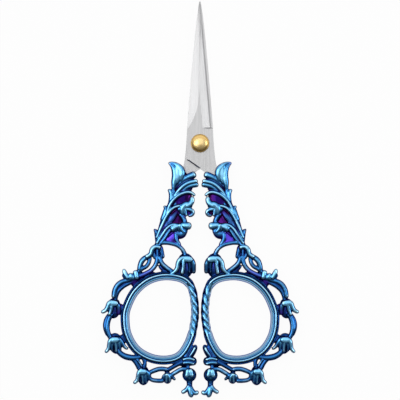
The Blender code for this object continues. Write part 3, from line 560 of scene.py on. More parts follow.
# %% Vine and ties
VINE = {
    "arch_end": (1.7, 0.75, [(5.4, 33.8, 0.73), (4.7, 35.3, 0.76)]),
    "crown_stalk_left": (1.8, 0.75, [(12.7, 36.2, 0.79), (12.1, 37.8, 0.79), (10.7, 39.2, 0.79),
        (9.0, 40.4, 0.79)]),
    "crown_stalk_right": (1.8, 0.75, [(13.5, 35.9, 0.76), (13.9, 38.1, 0.76), (15.3, 40.0, 0.76),
        (16.9, 41.0, 0.76), (18.8, 41.8, 0.82)]),
    "left_web": (1.2, 0.6, [(9.5, 40.5, 0.63), (11.1, 40.2, 0.79), (12.5, 38.9, 0.66)]),
    "brown_web": (0.9, 0.6, [(14.5, 41.2, 0.57), (16.4, 41.9, 0.79), (18.3, 42.6, 0.92)]),
    "upper_web": (1.5, 0.8, [(19.3, 41.5, 0.98), (20.2, 43.0, 1.07), (20.9, 44.5, 0.85)]),
    "upper_run": (1.85, 0.75, [(20.2, 42.4, 0.76), (22.6, 43.2, 0.76), (25.1, 44.0, 0.82),
        (26.7, 45.9, 0.85), (27.2, 48.3, 0.79)]),
    "upper_run_inner": (1.55, 0.75, [(20.5, 43.4, 0.66), (22.6, 44.3, 0.7), (24.6, 45.5, 0.73),
        (26.0, 47.1, 0.7), (26.7, 49.2, 0.7)]),
    "shoulder_tie": (1.4, 0.8, [(25.1, 51.3, 0.66), (25.2, 53.5, 0.66)]),
    "side_run": (1.8, 0.75, [(28.0, 54.1, 0.76), (28.9, 55.8, 0.82), (29.3, 57.9, 0.85),
        (29.1, 59.6, 0.82), (28.4, 61.2, 0.79)]),
    "side_run_outer": (1.6, 0.75, [(28.9, 54.4, 0.63), (29.8, 56.2, 0.7), (29.9, 58.4, 0.73),
        (29.2, 60.3, 0.7)]),
    "side_tie": (1.3, 0.8, [(24.6, 61.1, 0.73), (24.1, 62.5, 0.79)]),
    "lower_run": (1.75, 0.75, [(25.9, 65.6, 0.85), (24.3, 67.0, 0.98), (22.1, 67.7, 1.01),
        (20.1, 67.7, 0.88), (18.5, 67.5, 0.73)]),
    "lower_tie_left": (1.5, 0.75, [(18.3, 67.5, 0.66), (17.5, 69.0, 0.66), (17.6, 70.7, 0.66)]),
    "lower_tie_middle": (1.7, 0.75, [(19.8, 68.4, 0.44), (19.1, 69.3, 0.47), (18.5, 70.4, 0.47)]),
    "lower_tie_right": (1.55, 0.75, [(21.5, 68.0, 0.7), (20.2, 69.4, 0.73), (19.4, 71.0, 0.73)]),
    "foot_upper": (1.75, 0.75, [(10.6, 71.5, 0.76), (12.5, 71.3, 0.79), (14.4, 71.8, 0.79),
        (16.1, 72.6, 0.73)]),
    "foot_lower": (1.7, 0.75, [(12.1, 75.0, 0.76), (13.7, 75.0, 0.73), (15.2, 74.7, 0.7),
        (16.4, 73.8, 0.66)]),
    "foot_tie": (1.5, 0.75, [(5.8, 69.2, 0.76), (7.9, 70.3, 0.73), (10.3, 71.7, 0.76)]),
    "foot_tie_low": (1.4, 0.75, [(10.4, 71.6, 0.73), (10.5, 73.1, 0.73)]),
    "bud_arm": (1.8, 0.75, [(4.0, 71.4, 0.7), (5.8, 71.4, 0.76), (7.6, 72.3, 0.76),
        (9.3, 73.4, 0.7)]),
}
wax += [flat_strand(name, *stalk) for name, stalk in VINE.items()]
print("with the vine,", len(wax), "strands")

# %% [markdown]
# ## Flowers and leaves round the bow
#
# The flowers are lilies of the valley seen from the side. Each has a smooth rounded cap, from which
# three or four ridged petals run down to the mouth, and the outer petals curl away at their tips. A
# low heart behind them closes the gaps, so that dark lines stay between the petals. Beside them are
# a leaf with three lobes like a little horn, a leaf with an eyelet in it, and a pair of leaves at the
# foot of the rope.

# %% Flowers and leaves
FLOWERS = {
    "inner_bell": {
        "cap": (2.35, 0.25, [(3.3, 36.7, 1.01), (4.3, 36.5, 1.07)]),
        "left_petal": ((2.3, 1.55), 0.75, [(4.3, 35.7, 0.54), (3.1, 36.5, 0.82), (2.2, 37.8, 0.82),
            (2.0, 39.4, 0.76), (2.0, 40.5, 0.7)]),
        "ridge_left": ((2.25, 1.6), 0.75, [(4.2, 36.0, 0.6), (3.6, 37.1, 0.6), (3.3, 38.8, 0.41),
            (3.4, 40.7, 0.38)]),
        "ridge_right": ((2.35, 2.1), 0.75, [(4.9, 36.4, 0.66), (5.2, 37.5, 0.7), (5.3, 39.1, 0.66),
            (5.6, 40.9, 0.6)]),
        "right_petal": ((2.4, 2.2), 0.75, [(5.0, 36.1, 0.6), (6.1, 36.6, 0.79), (6.9, 37.8, 0.79),
            (7.2, 39.3, 0.73), (8.0, 40.5, 0.66), (9.2, 41.2, 0.54)]),
        "heart": (1.3, 0.3, [(4.6, 36.9, 2.2), (4.7, 38.8, 2.67), (4.9, 40.4, 2.2)]),
    },
    "crown_bell": {
        "neck": (1.9, 0.75, [(13.1, 30.9, 0.77), (13.2, 32.5, 0.77)]),
        "hood": (2.3, 0.75, [(13.0, 32.9, 0.68), (14.1, 32.7, 0.74), (15.1, 33.5, 0.81),
            (15.6, 34.9, 0.74), (16.7, 35.7, 0.74)]),
        "left_side": (1.6, 0.75, [(12.4, 33.1, 0.77), (12.1, 34.5, 0.77), (11.8, 35.8, 0.65)]),
        "fold": (1.6, 0.95, [(13.5, 33.6, 0.43), (13.5, 34.7, 0.46), (13.4, 35.9, 0.46)]),
        "right_side": (1.7, 0.75, [(14.7, 33.9, 0.62), (14.7, 35.0, 0.62), (14.3, 36.1, 0.55)]),
        "heart": (1.2, 0.3, [(13.5, 33.2, 1.56), (13.4, 34.7, 1.72), (13.1, 35.9, 1.15)]),
    },
    "eyelet": {
        "outer_side": (1.95, 0.75, [(16.6, 35.9, 0.77), (18.0, 36.8, 0.9), (18.8, 38.2, 0.84),
            (19.1, 39.7, 0.74)]),
        "inner_side": (1.75, 0.75, [(15.9, 36.1, 0.65), (16.1, 37.5, 0.68), (16.9, 38.8, 0.71),
            (18.2, 39.6, 0.71), (19.4, 40.4, 0.77)]),
    },
    "horn_leaf": {
        "base": (1.95, 0.6, [(19.7, 41.8, 0.88), (21.2, 42.4, 1.01), (22.8, 42.4, 0.95),
            (23.9, 41.8, 0.76)]),
        "first_lobe": (2.2, 0.6, [(20.1, 42.1, 0.95), (20.3, 41.0, 0.95)]),
        "second_lobe": (2.1, 0.6, [(21.7, 42.2, 0.82), (21.9, 41.7, 0.76)]),
        "third_lobe": (2.2, 0.6, [(23.0, 42.2, 0.82), (23.7, 41.0, 0.79), (24.0, 40.2, 0.54)]),
    },
    "shoulder_bell": {
        "cap": (2.35, 0.25, [(26.8, 50.6, 0.95), (27.7, 50.5, 0.98)]),
        "left_side": ((2.3, 1.6), 0.75, [(27.2, 50.0, 0.57), (26.3, 50.7, 0.82), (25.7, 51.9, 0.82),
            (25.7, 53.6, 0.7)]),
        "ridge": ((2.35, 2.1), 0.75, [(27.5, 50.3, 0.66), (27.8, 51.2, 0.73), (28.1, 52.6, 0.66),
            (28.6, 54.0, 0.57)]),
        "right_petal": ((2.4, 2.2), 0.75, [(27.7, 50.1, 0.6), (28.6, 50.5, 0.82), (29.2, 51.7, 0.76),
            (29.8, 52.7, 0.7), (30.7, 53.2, 0.6)]),
        "heart": (1.3, 0.3, [(27.2, 50.8, 1.88), (27.2, 52.4, 1.98), (27.3, 53.8, 1.56)]),
    },
    "side_bell": {
        "cap": (2.35, 0.25, [(26.4, 62.1, 0.98), (27.5, 62.2, 0.98)]),
        "left_petal": ((2.2, 1.6), 0.75, [(26.5, 61.5, 0.6), (25.5, 61.9, 0.76), (24.6, 63.1, 0.73),
            (23.8, 64.3, 0.6), (23.1, 64.8, 0.47)]),
        "ridge_left": ((2.3, 1.7), 0.75, [(26.6, 61.7, 0.57), (25.9, 62.5, 0.63), (25.4, 63.9, 0.54),
            (25.3, 65.3, 0.51)]),
        "ridge_middle": ((2.4, 1.95), 0.75, [(26.9, 61.7, 0.6), (26.7, 62.8, 0.66), (26.5, 64.4, 0.57),
            (26.4, 65.5, 0.54)]),
        "ridge_right": ((2.3, 1.65), 0.75, [(27.3, 61.8, 0.57), (27.6, 62.8, 0.6), (27.8, 64.2, 0.51),
            (27.8, 65.3, 0.47)]),
        "right_petal": ((2.4, 2.1), 0.75, [(27.4, 61.7, 0.6), (28.3, 62.3, 0.76), (28.7, 63.7, 0.7),
            (29.0, 65.0, 0.63), (29.6, 65.7, 0.57)]),
        "heart": (1.3, 0.3, [(26.9, 61.8, 1.88), (26.7, 63.4, 2.04), (26.5, 65.0, 1.56)]),
    },
    "lower_bell": {
        "cap": (2.35, 0.25, [(17.7, 72.2, 0.92), (18.6, 72.2, 0.92)]),
        "left_petal": ((2.3, 1.65), 0.75, [(18.0, 71.6, 0.57), (17.1, 72.0, 0.76), (16.2, 73.2, 0.73),
            (16.0, 74.4, 0.57)]),
        "ridge_left": ((2.3, 1.7), 0.75, [(18.1, 71.8, 0.57), (17.4, 72.6, 0.63), (17.1, 74.2, 0.54),
            (17.0, 75.4, 0.51)]),
        "ridge_middle": ((2.35, 1.8), 0.75, [(18.3, 71.8, 0.6), (18.3, 72.9, 0.6), (18.1, 74.2, 0.54),
            (18.0, 75.6, 0.47)]),
        "right_petal": ((2.4, 2.1), 0.75, [(18.5, 71.6, 0.6), (19.2, 72.3, 0.76), (19.6, 73.8, 0.7),
            (20.0, 75.0, 0.63), (20.6, 75.5, 0.57)]),
        "heart": (1.3, 0.3, [(18.0, 72.0, 1.72), (17.9, 73.5, 1.91), (17.9, 75.0, 1.47)]),
    },
    "foot_bell": {
        "left_petal": ((2.15, 1.5), 0.75, [(10.3, 73.0, 0.51), (9.4, 73.3, 0.63), (8.5, 74.1, 0.54),
            (8.1, 74.5, 0.47)]),
        "ridge_left": ((2.25, 1.9), 0.75, [(10.3, 73.2, 0.54), (9.7, 73.9, 0.54), (9.6, 75.0, 0.47)]),
        "ridge_right": ((2.25, 1.9), 0.75, [(10.6, 73.2, 0.54), (10.6, 74.2, 0.54),
            (10.6, 75.2, 0.47)]),
        "right_side": ((2.15, 1.5), 0.75, [(10.6, 73.1, 0.51), (11.4, 73.7, 0.63), (11.6, 74.9, 0.54)]),
        "heart": (1.2, 0.3, [(10.3, 73.4, 1.28), (10.3, 74.6, 1.41)]),
    },
    "bud": {
        "stalk": (1.6, 0.8, [(4.0, 68.8, 0.63), (3.8, 71.3, 0.63)]),
        "left_lobe": (2.35, 0.55, [(3.0, 72.0, 0.79), (2.7, 73.2, 0.82)]),
        "right_lobe": (2.35, 0.55, [(3.9, 72.0, 0.79), (4.1, 73.3, 0.82)]),
        "neck": (1.65, 0.75, [(3.3, 75.0, 1.09), (3.3, 76.3, 0.9), (3.2, 77.5, 0.9)]),
        "left_petal": (1.9, 0.75, [(2.9, 77.2, 0.71), (2.3, 78.3, 0.74), (1.6, 78.9, 0.74),
            (1.1, 78.7, 0.71)]),
        "middle_petal": (2.0, 0.75, [(3.2, 77.3, 0.84), (3.1, 78.6, 0.87), (2.8, 79.5, 0.84)]),
        "right_petal": (1.9, 0.75, [(3.7, 76.9, 0.71), (4.3, 77.8, 0.71), (5.3, 78.5, 0.68)]),
    },
    "foot_leaves": {
        "upper_body": (1.5, 0.5, [(1.6, 64.4, 0.82), (2.2, 65.8, 1.01), (3.2, 67.1, 1.01),
            (4.3, 67.8, 0.76)]),
        "upper_ridge": (1.95, 0.9, [(1.7, 64.7, 0.44), (2.3, 65.9, 0.54), (3.2, 67.2, 0.41)]),
        "upper_back": (1.55, 0.6, [(2.8, 64.3, 0.63), (3.6, 65.8, 0.76), (4.6, 67.4, 0.82)]),
        "lower_body": (1.55, 0.4, [(2.3, 68.9, 1.33), (3.8, 69.0, 1.45), (5.4, 69.2, 1.2),
            (6.6, 69.7, 0.76)]),
        "lower_ridge": (2.0, 0.9, [(2.1, 68.4, 0.51), (3.5, 68.0, 0.63), (5.1, 68.3, 0.51)]),
        "lower_ridge_low": (1.95, 0.9, [(2.2, 69.6, 0.51), (3.6, 69.3, 0.63), (5.1, 69.4, 0.51)]),
    },
}
for flower, petals in FLOWERS.items():
    wax += [flat_strand(f"{flower}_{name}", *petal) for name, petal in petals.items()]
print("with the flowers,", len(wax), "strands")

# %% [markdown]
# ## The hanging bud
#
# At the foot hangs a round bud. It is the one form that is a ball, and the two lobes in the table
# above lie over its shoulders.

# %% Ball of the bud
BUD_PLACE, BUD_RADIUS, BUD_DOME, BUD_LIFT = on_handle(3.35, 73.2), 2.25, 1.2, 0.85

start_fresh()
bpy.ops.mesh.primitive_uv_sphere_add(
    segments=32, ring_count=20, radius=BUD_RADIUS, location=BUD_PLACE,
    scale=(1, 1, BUD_DOME / BUD_RADIUS))
bpy.ops.object.transform_apply(location=True, scale=True)
wax.append(spread(bpy.context.object, (BUD_LIFT, BUD_LIFT)))
print("with the bud,", len(wax), "pieces of wax")

# %% [markdown]
# ## The finger bow
#
# The bow is a moulded band, two beads with a groove between them, bent into an egg-shaped ring. A
# curve object can sweep any profile along a closed line, so the band is one, made into a mesh. The
# profile is given in half widths, from the outside inwards, and half heights.

# %% Moulded band
MOULDING = (
    (1.0, 0.0), (1.0, 0.42), (0.95, 0.57), (0.86, 0.64), (0.76, 0.6), (0.67, 0.54), (0.56, 0.56),
    (0.46, 0.74), (0.38, 0.9), (0.26, 0.98), (0.08, 1.0), (-0.12, 0.98), (-0.26, 0.88),
    (-0.38, 0.8), (-0.5, 0.8), (-0.64, 0.83), (-0.78, 0.8), (-0.94, 0.7), (-1.1, 0.52),
    (-1.24, 0.28), (-1.35, 0.0),
)
HALF_BAND, HALF_HANDLE = BAND_WIDTH / 2, 2.2
BAND_MIDDLES = [edge + out * HALF_BAND for edge, out in zip(EDGE, EDGE_OUT)]
ROPE_FROM, ROPE_TO, ROPE_BLEND = 130.0, 207.0, 8.0
BAND_THINNING = 0.16


def rope_share(turn):
    """1 in the roped part of the bow, 0 outside it, with a short blend."""
    return min(max(min(turn - ROPE_FROM, ROPE_TO - turn) / ROPE_BLEND, 0.0), 1.0)


def moulded_band():
    """The band swept round the bow's middle line, thinner under the rope."""
    profile = bpy.data.curves.new("moulding", "CURVE")
    outline = profile.splines.new("POLY")
    back = [(x, -z) for x, z in reversed(MOULDING[1:-1])]
    points = [(-x * HALF_BAND, z * HALF_HANDLE) for x, z in (*MOULDING, *back)]
    outline.points.add(len(points) - 1)
    for point, (x, z) in zip(outline.points, points):
        point.co = (x, z, 0, 1)
    outline.use_cyclic_u = True
    profile_object = new_object("moulding", profile)
    line = bpy.data.curves.new("band", "CURVE")
    line.dimensions, line.bevel_mode, line.bevel_object = "2D", "OBJECT", profile_object
    line.resolution_u = 1
    path = line.splines.new("POLY")
    path.points.add(len(BAND_MIDDLES) - 1)
    for point, middle in zip(path.points, BAND_MIDDLES):
        point.co = (*(BOW_MIDDLE + middle), 0, 1)
        point.radius = 1 - BAND_THINNING * rope_share(turn_of(middle))
    path.use_cyclic_u = True
    take_up(new_object("band", line))
    bpy.ops.object.convert(target="MESH")
    bpy.data.objects.remove(profile_object)
    return bpy.context.object


bow = [moulded_band()]
print("band of", len(bow[0].data.polygons), "faces")

# %% [markdown]
# Along the inner side the band thins and four strands wind round it as a rope. They swing in and out
# by shares of the band's half width, and to the front and back by a share of its half height. Most of
# the way they lie flat on the front or the back, and they cross over quickly at the sides.

# %% Rope
ROPE_STRANDS, ROPE_TURNS, ROPE_OVERRUN = 4, 1.5, 4
ROPE_SWING, ROPE_INWARD, ROPE_RISE, QUICK_CROSSING = 0.5, 0.14, 0.58, 0.35
ROPE_RADIUS, ROPE_SWELL = 0.62, 0.2


def rope_strand(k):
    """One strand wound round the thin part of the band; its ends dive into the beads."""
    points, radii = [], []
    for middle, out in zip(BAND_MIDDLES, EDGE_OUT):
        turn = turn_of(middle)
        if not ROPE_FROM - ROPE_OVERRUN < turn < ROPE_TO + ROPE_OVERRUN:
            continue
        share = (turn - ROPE_FROM) / (ROPE_TO - ROPE_FROM)
        wind = 2 * pi * (k / ROPE_STRANDS + ROPE_TURNS * share)
        place = BOW_MIDDLE + middle + out * (ROPE_SWING * cos(wind) - ROPE_INWARD) * HALF_BAND
        height = copysign(abs(sin(wind)) ** QUICK_CROSSING, sin(wind))
        points.append(Vector((*place, HALF_HANDLE * ROPE_RISE * height)))
        radii.append(ROPE_RADIUS + ROPE_SWELL * abs(height))
    return bent("rope_strand", points, radii)


bow += [rope_strand(k) for k in range(ROPE_STRANDS)]
print("bow of", len(bow), "pieces")

# %% [markdown]
# ## One casting
#
# A casting is one piece of metal, so the wax strands are fused. Voxel Remesh wraps one skin round all
# of them, as wax melted together would, and a little smoothing takes off the voxels' steps and
# leaves the soft fillets of a polished casting.

# %% Fuse the wax
VOXEL, SMOOTHING_ROUNDS = 0.12, 3


def fused(name, pieces):
    """One skin round all the pieces, smoothed."""
    start_fresh()
    for piece in pieces:
        piece.select_set(True)
    bpy.context.view_layer.objects.active = pieces[0]
    bpy.ops.object.join()
    casting = bpy.context.object
    casting.name = casting.data.name = name
    finish_with(casting, "REMESH", mode="VOXEL", voxel_size=VOXEL, adaptivity=0.0)
    finish_with(casting, "SMOOTH", factor=0.5, iterations=SMOOTHING_ROUNDS)
    return casting


right_casting = fused("right_casting", bow + wax)
for strand in STRANDS.values():
    bpy.data.objects.remove(strand)
print("casting of", len(right_casting.data.polygons), "faces")

# %% [markdown]
# ## Measuring for the plating
#
# The plating's colour needs its four numbers on each point. Hollow and crest compare a point with
# the average of its surroundings: where that lies outside the metal the point is in a hollow, and
# where it lies deep inside the point is on a crest. The surroundings are taken by averaging
# neighbours over and over.

# %% Averages over a mesh
HOLLOW_ROUNDS, LIFT_ROUNDS = 60, 4


def read(items, field, width, kind=np.float32):
    """One list of numbers from a mesh, as rows."""
    rows = np.empty(len(items) * width, kind)
    items.foreach_get(field, rows)
    return rows.reshape(-1, width).astype(float if kind == np.float32 else int)


def averaged(values, edges, rounds):
    """Values averaged with their neighbours' over and over."""
    count = np.bincount(edges.ravel(), minlength=len(values))[:, None] + 1.0
    for _ in range(rounds):
        total = values.copy()
        for axis in range(values.shape[1]):
            total[:, axis] += np.bincount(edges[:, 0], values[edges[:, 1], axis], len(values))
            total[:, axis] += np.bincount(edges[:, 1], values[edges[:, 0], axis], len(values))
        values = total / count
    return values


def share_from(values, none, full):
    """0 up to one bound and 1 from the other on, in proportion between them."""
    return np.clip((values - none) / (full - none), 0, 1)


print("surroundings averaged", HOLLOW_ROUNDS, "times")

# %% [markdown]
# Two places count as hollows wherever they lie low, even if they are flat, and take the hollows'
# tint and painted shade: the floors between the leaves of the stem, and the metal behind the flowers,
# just outside the bow. Round the bow all other hollows are shallow, and the bow itself has none.

# %% Find the hollows
HOLLOW_FROM, HOLLOW_TO = 0.04, 0.2
STEM_END, BOW_HOLLOWS, BOW_EDGE = -33.0, 0.4, 0.1
FLOOR_HEIGHT, FLOOR_FACING = (1.72, 1.52), (0.6, 0.8)
BEHIND_HEIGHT, BEHIND_BESIDE = (1.95, 1.55), (1.5, 1.1)
FLOWERS_FROM, FLOWERS_TO = (-25, -15), (95, 85)


def find_hollows(points, lift, level, beside, turns):
    """How deep each point lies, from how far the average lies above it, how level the metal is
    there, and where it lies beside the bow and about the bow's middle."""
    height, stem = np.abs(points[:, 2]), points[:, 1] > STEM_END
    hollow = share_from(lift, HOLLOW_FROM, HOLLOW_TO)
    floor = share_from(height, *FLOOR_HEIGHT) * share_from(level, *FLOOR_FACING)
    behind = share_from(height, *BEHIND_HEIGHT) * share_from(beside, *BEHIND_BESIDE)
    behind *= share_from(turns, *FLOWERS_FROM) * share_from(turns, *FLOWERS_TO)
    hollow = np.where(stem, np.maximum(hollow, floor), np.maximum(BOW_HOLLOWS * hollow, behind))
    return np.where(beside < BOW_EDGE, 0, hollow)


# %% [markdown]
# Facing comes from each point's normal, and is less low down, so that low places come out darker as
# painted shade. Inside goes by the distance from the edge of the finger hole. All four numbers are
# stored on the mesh as attributes, which the material reads.

# %% Measure the casting
CREST_FROM, CREST_TO = 0.03, 0.2
LOW_FROM, LOW_TO, LOW_DOWN_SHADE = 1.2, 2.0, 0.64
INSIDE_NONE, INSIDE_FULL = 0.95, -0.3


def measure_plating(casting):
    """Stores how far each point faces up or down, how deep it lies in a hollow, how far it stands
    out on a crest, and how near it is to the hole."""
    mesh = casting.data
    points = read(mesh.vertices, "co", 3)
    normals = read(mesh.vertex_normals, "vector", 3)
    edges = read(mesh.edges, "vertices", 2, np.int32)
    lift = ((averaged(points, edges, HOLLOW_ROUNDS) - points) * normals).sum(1)
    lift = averaged(lift[:, None], edges, LIFT_ROUNDS)[:, 0]
    level = np.abs(averaged(normals, edges, 1)[:, 2])
    # Points that lie low get less facing, so they come out darker: painted shade.
    painted_shading = LOW_DOWN_SHADE + (1 - LOW_DOWN_SHADE) * share_from(np.abs(points[:, 2]), LOW_FROM, LOW_TO)
    about = points[:, :2] - np.array(BOW_MIDDLE)
    turns, reach = np.degrees(np.arctan2(about[:, 1], about[:, 0])), np.hypot(*about.T)
    measures = {
        "crest": share_from(-lift, CREST_FROM, CREST_TO),
        "facing": level * painted_shading,
        "hollow": find_hollows(points, lift, level, reach - ring_reach(RIM, turns), turns),
        "inside": share_from(reach - ring_reach(EDGE, turns), INSIDE_NONE, INSIDE_FULL),
    }
    for name, values in measures.items():
        mesh.attributes.new(name, "FLOAT", "POINT").data.foreach_set("value", values.astype(np.float32))
        print(name, "averages", round(float(values.mean()), 3))


measure_plating(right_casting)

# %% [markdown]
# ## Thin out and place
#
# Decimate takes out the points that flat places don't need, and carries the four numbers over to
# those that stay. The wax was modelled in millimetres about the pivot, so the last step brings the
# casting to its real size and place.

# %% Thin out and place the casting
MOST_TRIANGLES = 190000
share_kept = MOST_TRIANGLES / 2 / len(right_casting.data.polygons)
finish_with(right_casting, "DECIMATE", ratio=min(1.0, share_kept))
right_casting.data.transform(Matrix.Translation(PIVOT) @ Matrix.Scale(MM, 4))
take_up(right_casting)
bpy.ops.object.shade_smooth()
print("casting thinned to", len(right_casting.data.polygons), "faces")

# %% [markdown]
# ## The other casting
#
# Both handles of such scissors come out of the same mould: one is simply turned over. So the left
# casting is a copy with its own mesh, turned half round about the line through the pivot that runs
# along the blades.

# %% Turn over a copy
def turned_over(piece, name):
    """A copy with its own mesh, turned half round about the line through the pivot along the blades."""
    other = piece.copy()
    other.data = piece.data.copy()
    other.name = other.data.name = name
    bpy.context.scene.collection.objects.link(other)
    other.data.transform(
        Matrix.Translation(PIVOT) @ Matrix.Rotation(pi, 4, "Y") @ Matrix.Translation(-PIVOT))
    return other


left_casting = turned_over(right_casting, "left_casting")
dress(right_casting, "front_half", "blue_plating", blue_plating, "right_handle")
dress(left_casting, "rear_half", "blue_plating", blue_plating, "left_handle")

# %% [markdown]
# ## The blade
#
# A blade is stamped out of 1.3 mm strip steel: the blade proper, a flat ricasso round the pivot and a
# tang that the handle is cast over. Then a wheel grinds the front away to both sides of a ridge, a
# little hollow. On the spine side it lifts out in a curve, and on the edge side it stops at a
# straight shoulder, which leaves a wedge of flat stock between them. We do the same with a slab of
# fine squares, and first write down its five lengthwise lines: spine, both sides of the ridge,
# bevel and edge.

# %% Lines of the ground blade
BLADE_REACH, GRIND_END = 44.9, 4.65
BLADE_LOW, BLADE_TOP, TIP_TOP, STOCK_GAIN = 0.03, 1.33, 0.48, 1.35
TIP_HALF, SPINE_GROWTH, SPINE_CURVE, EDGE_GROWTH = 0.1, 4.0, 0.75, 3.45
RIDGE_SPLIT, RIDGE_LEAN, RIDGE_WIDTH = 17.5, 0.38, 0.12
LIFT_CURVE, SHOULDER_SPREAD = 2.7, 1.13
EDGE_TOP, BEVEL_TOP, BEVEL_WIDTH, BEVEL_SHARE = 0.15, 0.43, 0.4, 0.4
SPINE_FALL = 0.4


def ground_lines(y):
    """Place across and height of the five lines where the blade is ground."""
    share = (BLADE_REACH - y) / (BLADE_REACH - GRIND_END)
    past_split = max(0.0, (RIDGE_SPLIT - y) / (RIDGE_SPLIT - GRIND_END))
    stock = TIP_TOP + (BLADE_TOP - TIP_TOP) * min(1, share * STOCK_GAIN)
    spine = -TIP_HALF - SPINE_GROWTH * share ** SPINE_CURVE
    edge = TIP_HALF + EDGE_GROWTH * share
    half_ridge = min(RIDGE_WIDTH / 2, (edge - spine) / 8)
    ridge = -RIDGE_LEAN * min(1, (BLADE_REACH - y) / (BLADE_REACH - RIDGE_SPLIT))
    lift = TIP_HALF + SPINE_GROWTH - 2 * RIDGE_LEAN
    left = ridge - half_ridge - lift * past_split ** LIFT_CURVE
    right = ridge + half_ridge + SHOULDER_SPREAD * past_split
    bevel = edge - min(BEVEL_WIDTH, (edge - right) * BEVEL_SHARE)
    fall = SPINE_FALL * (stock - BLADE_LOW) * (left - spine) / (ridge - half_ridge - spine)
    return (spine, left, right, bevel, edge), (stock - fall, stock, stock, BEVEL_TOP, EDGE_TOP)


print("blade at its heel", [round(x, 2) for x in ground_lines(GRIND_END)[0]])

# %% [markdown]
# Below the ground part the same five lines only keep the slab flat. The ricasso widens towards its
# foot, where a chamfered shoulder leads over to the tang, and the tang has a waist that the casting
# grips.

# %% Lines of the ricasso and the tang
RICASSO_FOOT, TANG_TOP, TANG_END = -5.15, -9.3, -19.0
RICASSO_HALF, RICASSO_LEFT, RICASSO_RIGHT, EDGE_CURVE = 4.1, 4.22, 4.85, 1.6
TANG_LEFT, SHOULDER_RIGHT = 1.7, 5.25
CHAMFER, SHOULDER_CHAMFER, CHAMFER_END, CHAMFER_BLEND = 0.3, (0.7, 0.5), 0.66, 0.04
TANG_MIDDLE, TANG_SLOPE, TANG_HALF = 3.3, 0.398, 1.6
WAIST_PLACE, WAIST_REACH, WAIST_HALF = -14.15, 1.35, 1.1
TANG_DROP, DROP_FROM = 0.3, -10.5
RIGHT_SHARE, BEVEL_LINE_SHARE = 0.6, 0.9


def plain_lines(y):
    """The same lines where the blade keeps its full stock: ricasso, shoulder and tang."""
    chamfer, drop, top = CHAMFER, 0.0, BLADE_TOP
    if y > RICASSO_FOOT:
        down = (GRIND_END - y) / (GRIND_END - RICASSO_FOOT)
        left = -RICASSO_HALF - (RICASSO_LEFT - RICASSO_HALF) * down
        right = RICASSO_HALF + (RICASSO_RIGHT - RICASSO_HALF) * down ** EDGE_CURVE
    elif y > TANG_TOP:
        down = (RICASSO_FOOT - y) / (RICASSO_FOOT - TANG_TOP)
        left = -RICASSO_LEFT + (TANG_LEFT + RICASSO_LEFT) * down
        right = RICASSO_RIGHT + (SHOULDER_RIGHT - RICASSO_RIGHT) * min(1, 2 * down)
        share = min(max((CHAMFER_END + CHAMFER_BLEND - down) / (2 * CHAMFER_BLEND), 0), 1)
        chamfer += share * (SHOULDER_CHAMFER[0] - CHAMFER)
        drop = share * SHOULDER_CHAMFER[1]
    else:
        middle = TANG_MIDDLE - TANG_SLOPE * (y - TANG_TOP)
        half = WAIST_HALF if abs(y - WAIST_PLACE) < WAIST_REACH else TANG_HALF
        left, right = middle - half, middle + half
        top -= TANG_DROP * min(1, max(0, DROP_FROM - y))
    wide = right - left
    across = (left, left + chamfer, left + RIGHT_SHARE * wide, left + BEVEL_LINE_SHARE * wide, right)
    return across, (top - drop, top, top, top, top)


print("tang at its end", [round(x, 2) for x in plain_lines(TANG_END)[0]])

# %% [markdown]
# The slab is a grid with as many rows as there are places along the blade, drawn down by Extrude to
# give it a back. Its points are then pushed to where the lines say, and the two ground faces sink
# between theirs by the hollow that the wheel leaves.

# %% Press the slab to the blade
LINE_COLUMNS = (0, 14, 24, 38, 42)
GROUND_ROWS, PLAIN_ROWS = 150, 96
BLADE_ROWS = [
    *np.linspace(BLADE_REACH, GRIND_END + 0.35, GROUND_ROWS),
    *np.linspace(GRIND_END - 0.05, TANG_END, PLAIN_ROWS),
]
WHEEL_HOLLOW, FULL_HOLLOW_WIDTH = 0.05, 3


def make_slab(name):
    """A slab of squares between -1 and 1, with a front at height 0 and a back at -1."""
    start_fresh()
    bpy.ops.mesh.primitive_grid_add(
        x_subdivisions=LINE_COLUMNS[-1], y_subdivisions=len(BLADE_ROWS) - 1, size=2)
    slab = bpy.context.object
    slab.name = slab.data.name = name
    bpy.ops.object.mode_set(mode="EDIT")
    bpy.ops.mesh.select_all(action="SELECT")
    bpy.ops.mesh.extrude_region_move(TRANSFORM_OT_translate={"value": (0, 0, -1)})
    bpy.ops.object.mode_set(mode="OBJECT")
    return slab


def wheel_hollow(column, across):
    """How deep the wheel has sunk the metal here, between the lines of the face it ground."""
    for k in (0, 2):
        t = (column - LINE_COLUMNS[k]) / (LINE_COLUMNS[k + 1] - LINE_COLUMNS[k])
        if 0 < t < 1:
            wide = across[k + 1] - across[k]
            return WHEEL_HOLLOW * 4 * t * (1 - t) * min(1, wide / FULL_HOLLOW_WIDTH)
    return 0.0


def press(slab):
    """Pushes the points of the slab to the lines of the blade."""
    for vertex in slab.data.vertices:
        column = (vertex.co.x + 1) / 2 * LINE_COLUMNS[-1]
        y = BLADE_ROWS[round((1 - vertex.co.y) / 2 * (len(BLADE_ROWS) - 1))]
        across, heights = ground_lines(y) if y > GRIND_END else plain_lines(y)
        height = BLADE_LOW
        if vertex.co.z > -0.5:
            height = np.interp(column, LINE_COLUMNS, heights)
            if y > GRIND_END:
                height -= wheel_hollow(column, across)
        vertex.co = (np.interp(column, LINE_COLUMNS, across), y, height)


print("slab of", LINE_COLUMNS[-1], "by", len(BLADE_ROWS) - 1, "squares")

# %% [markdown]
# The hole for the pivot is bored last. Edges where the faces meet are marked sharp, so that the rest
# can be shaded smooth. The second blade is the first turned over.

# %% Bore and finish the blades
PIVOT_HOLE, CUTTER_REACH = 1.55, 4.0
SHARP_FROM = 5.0


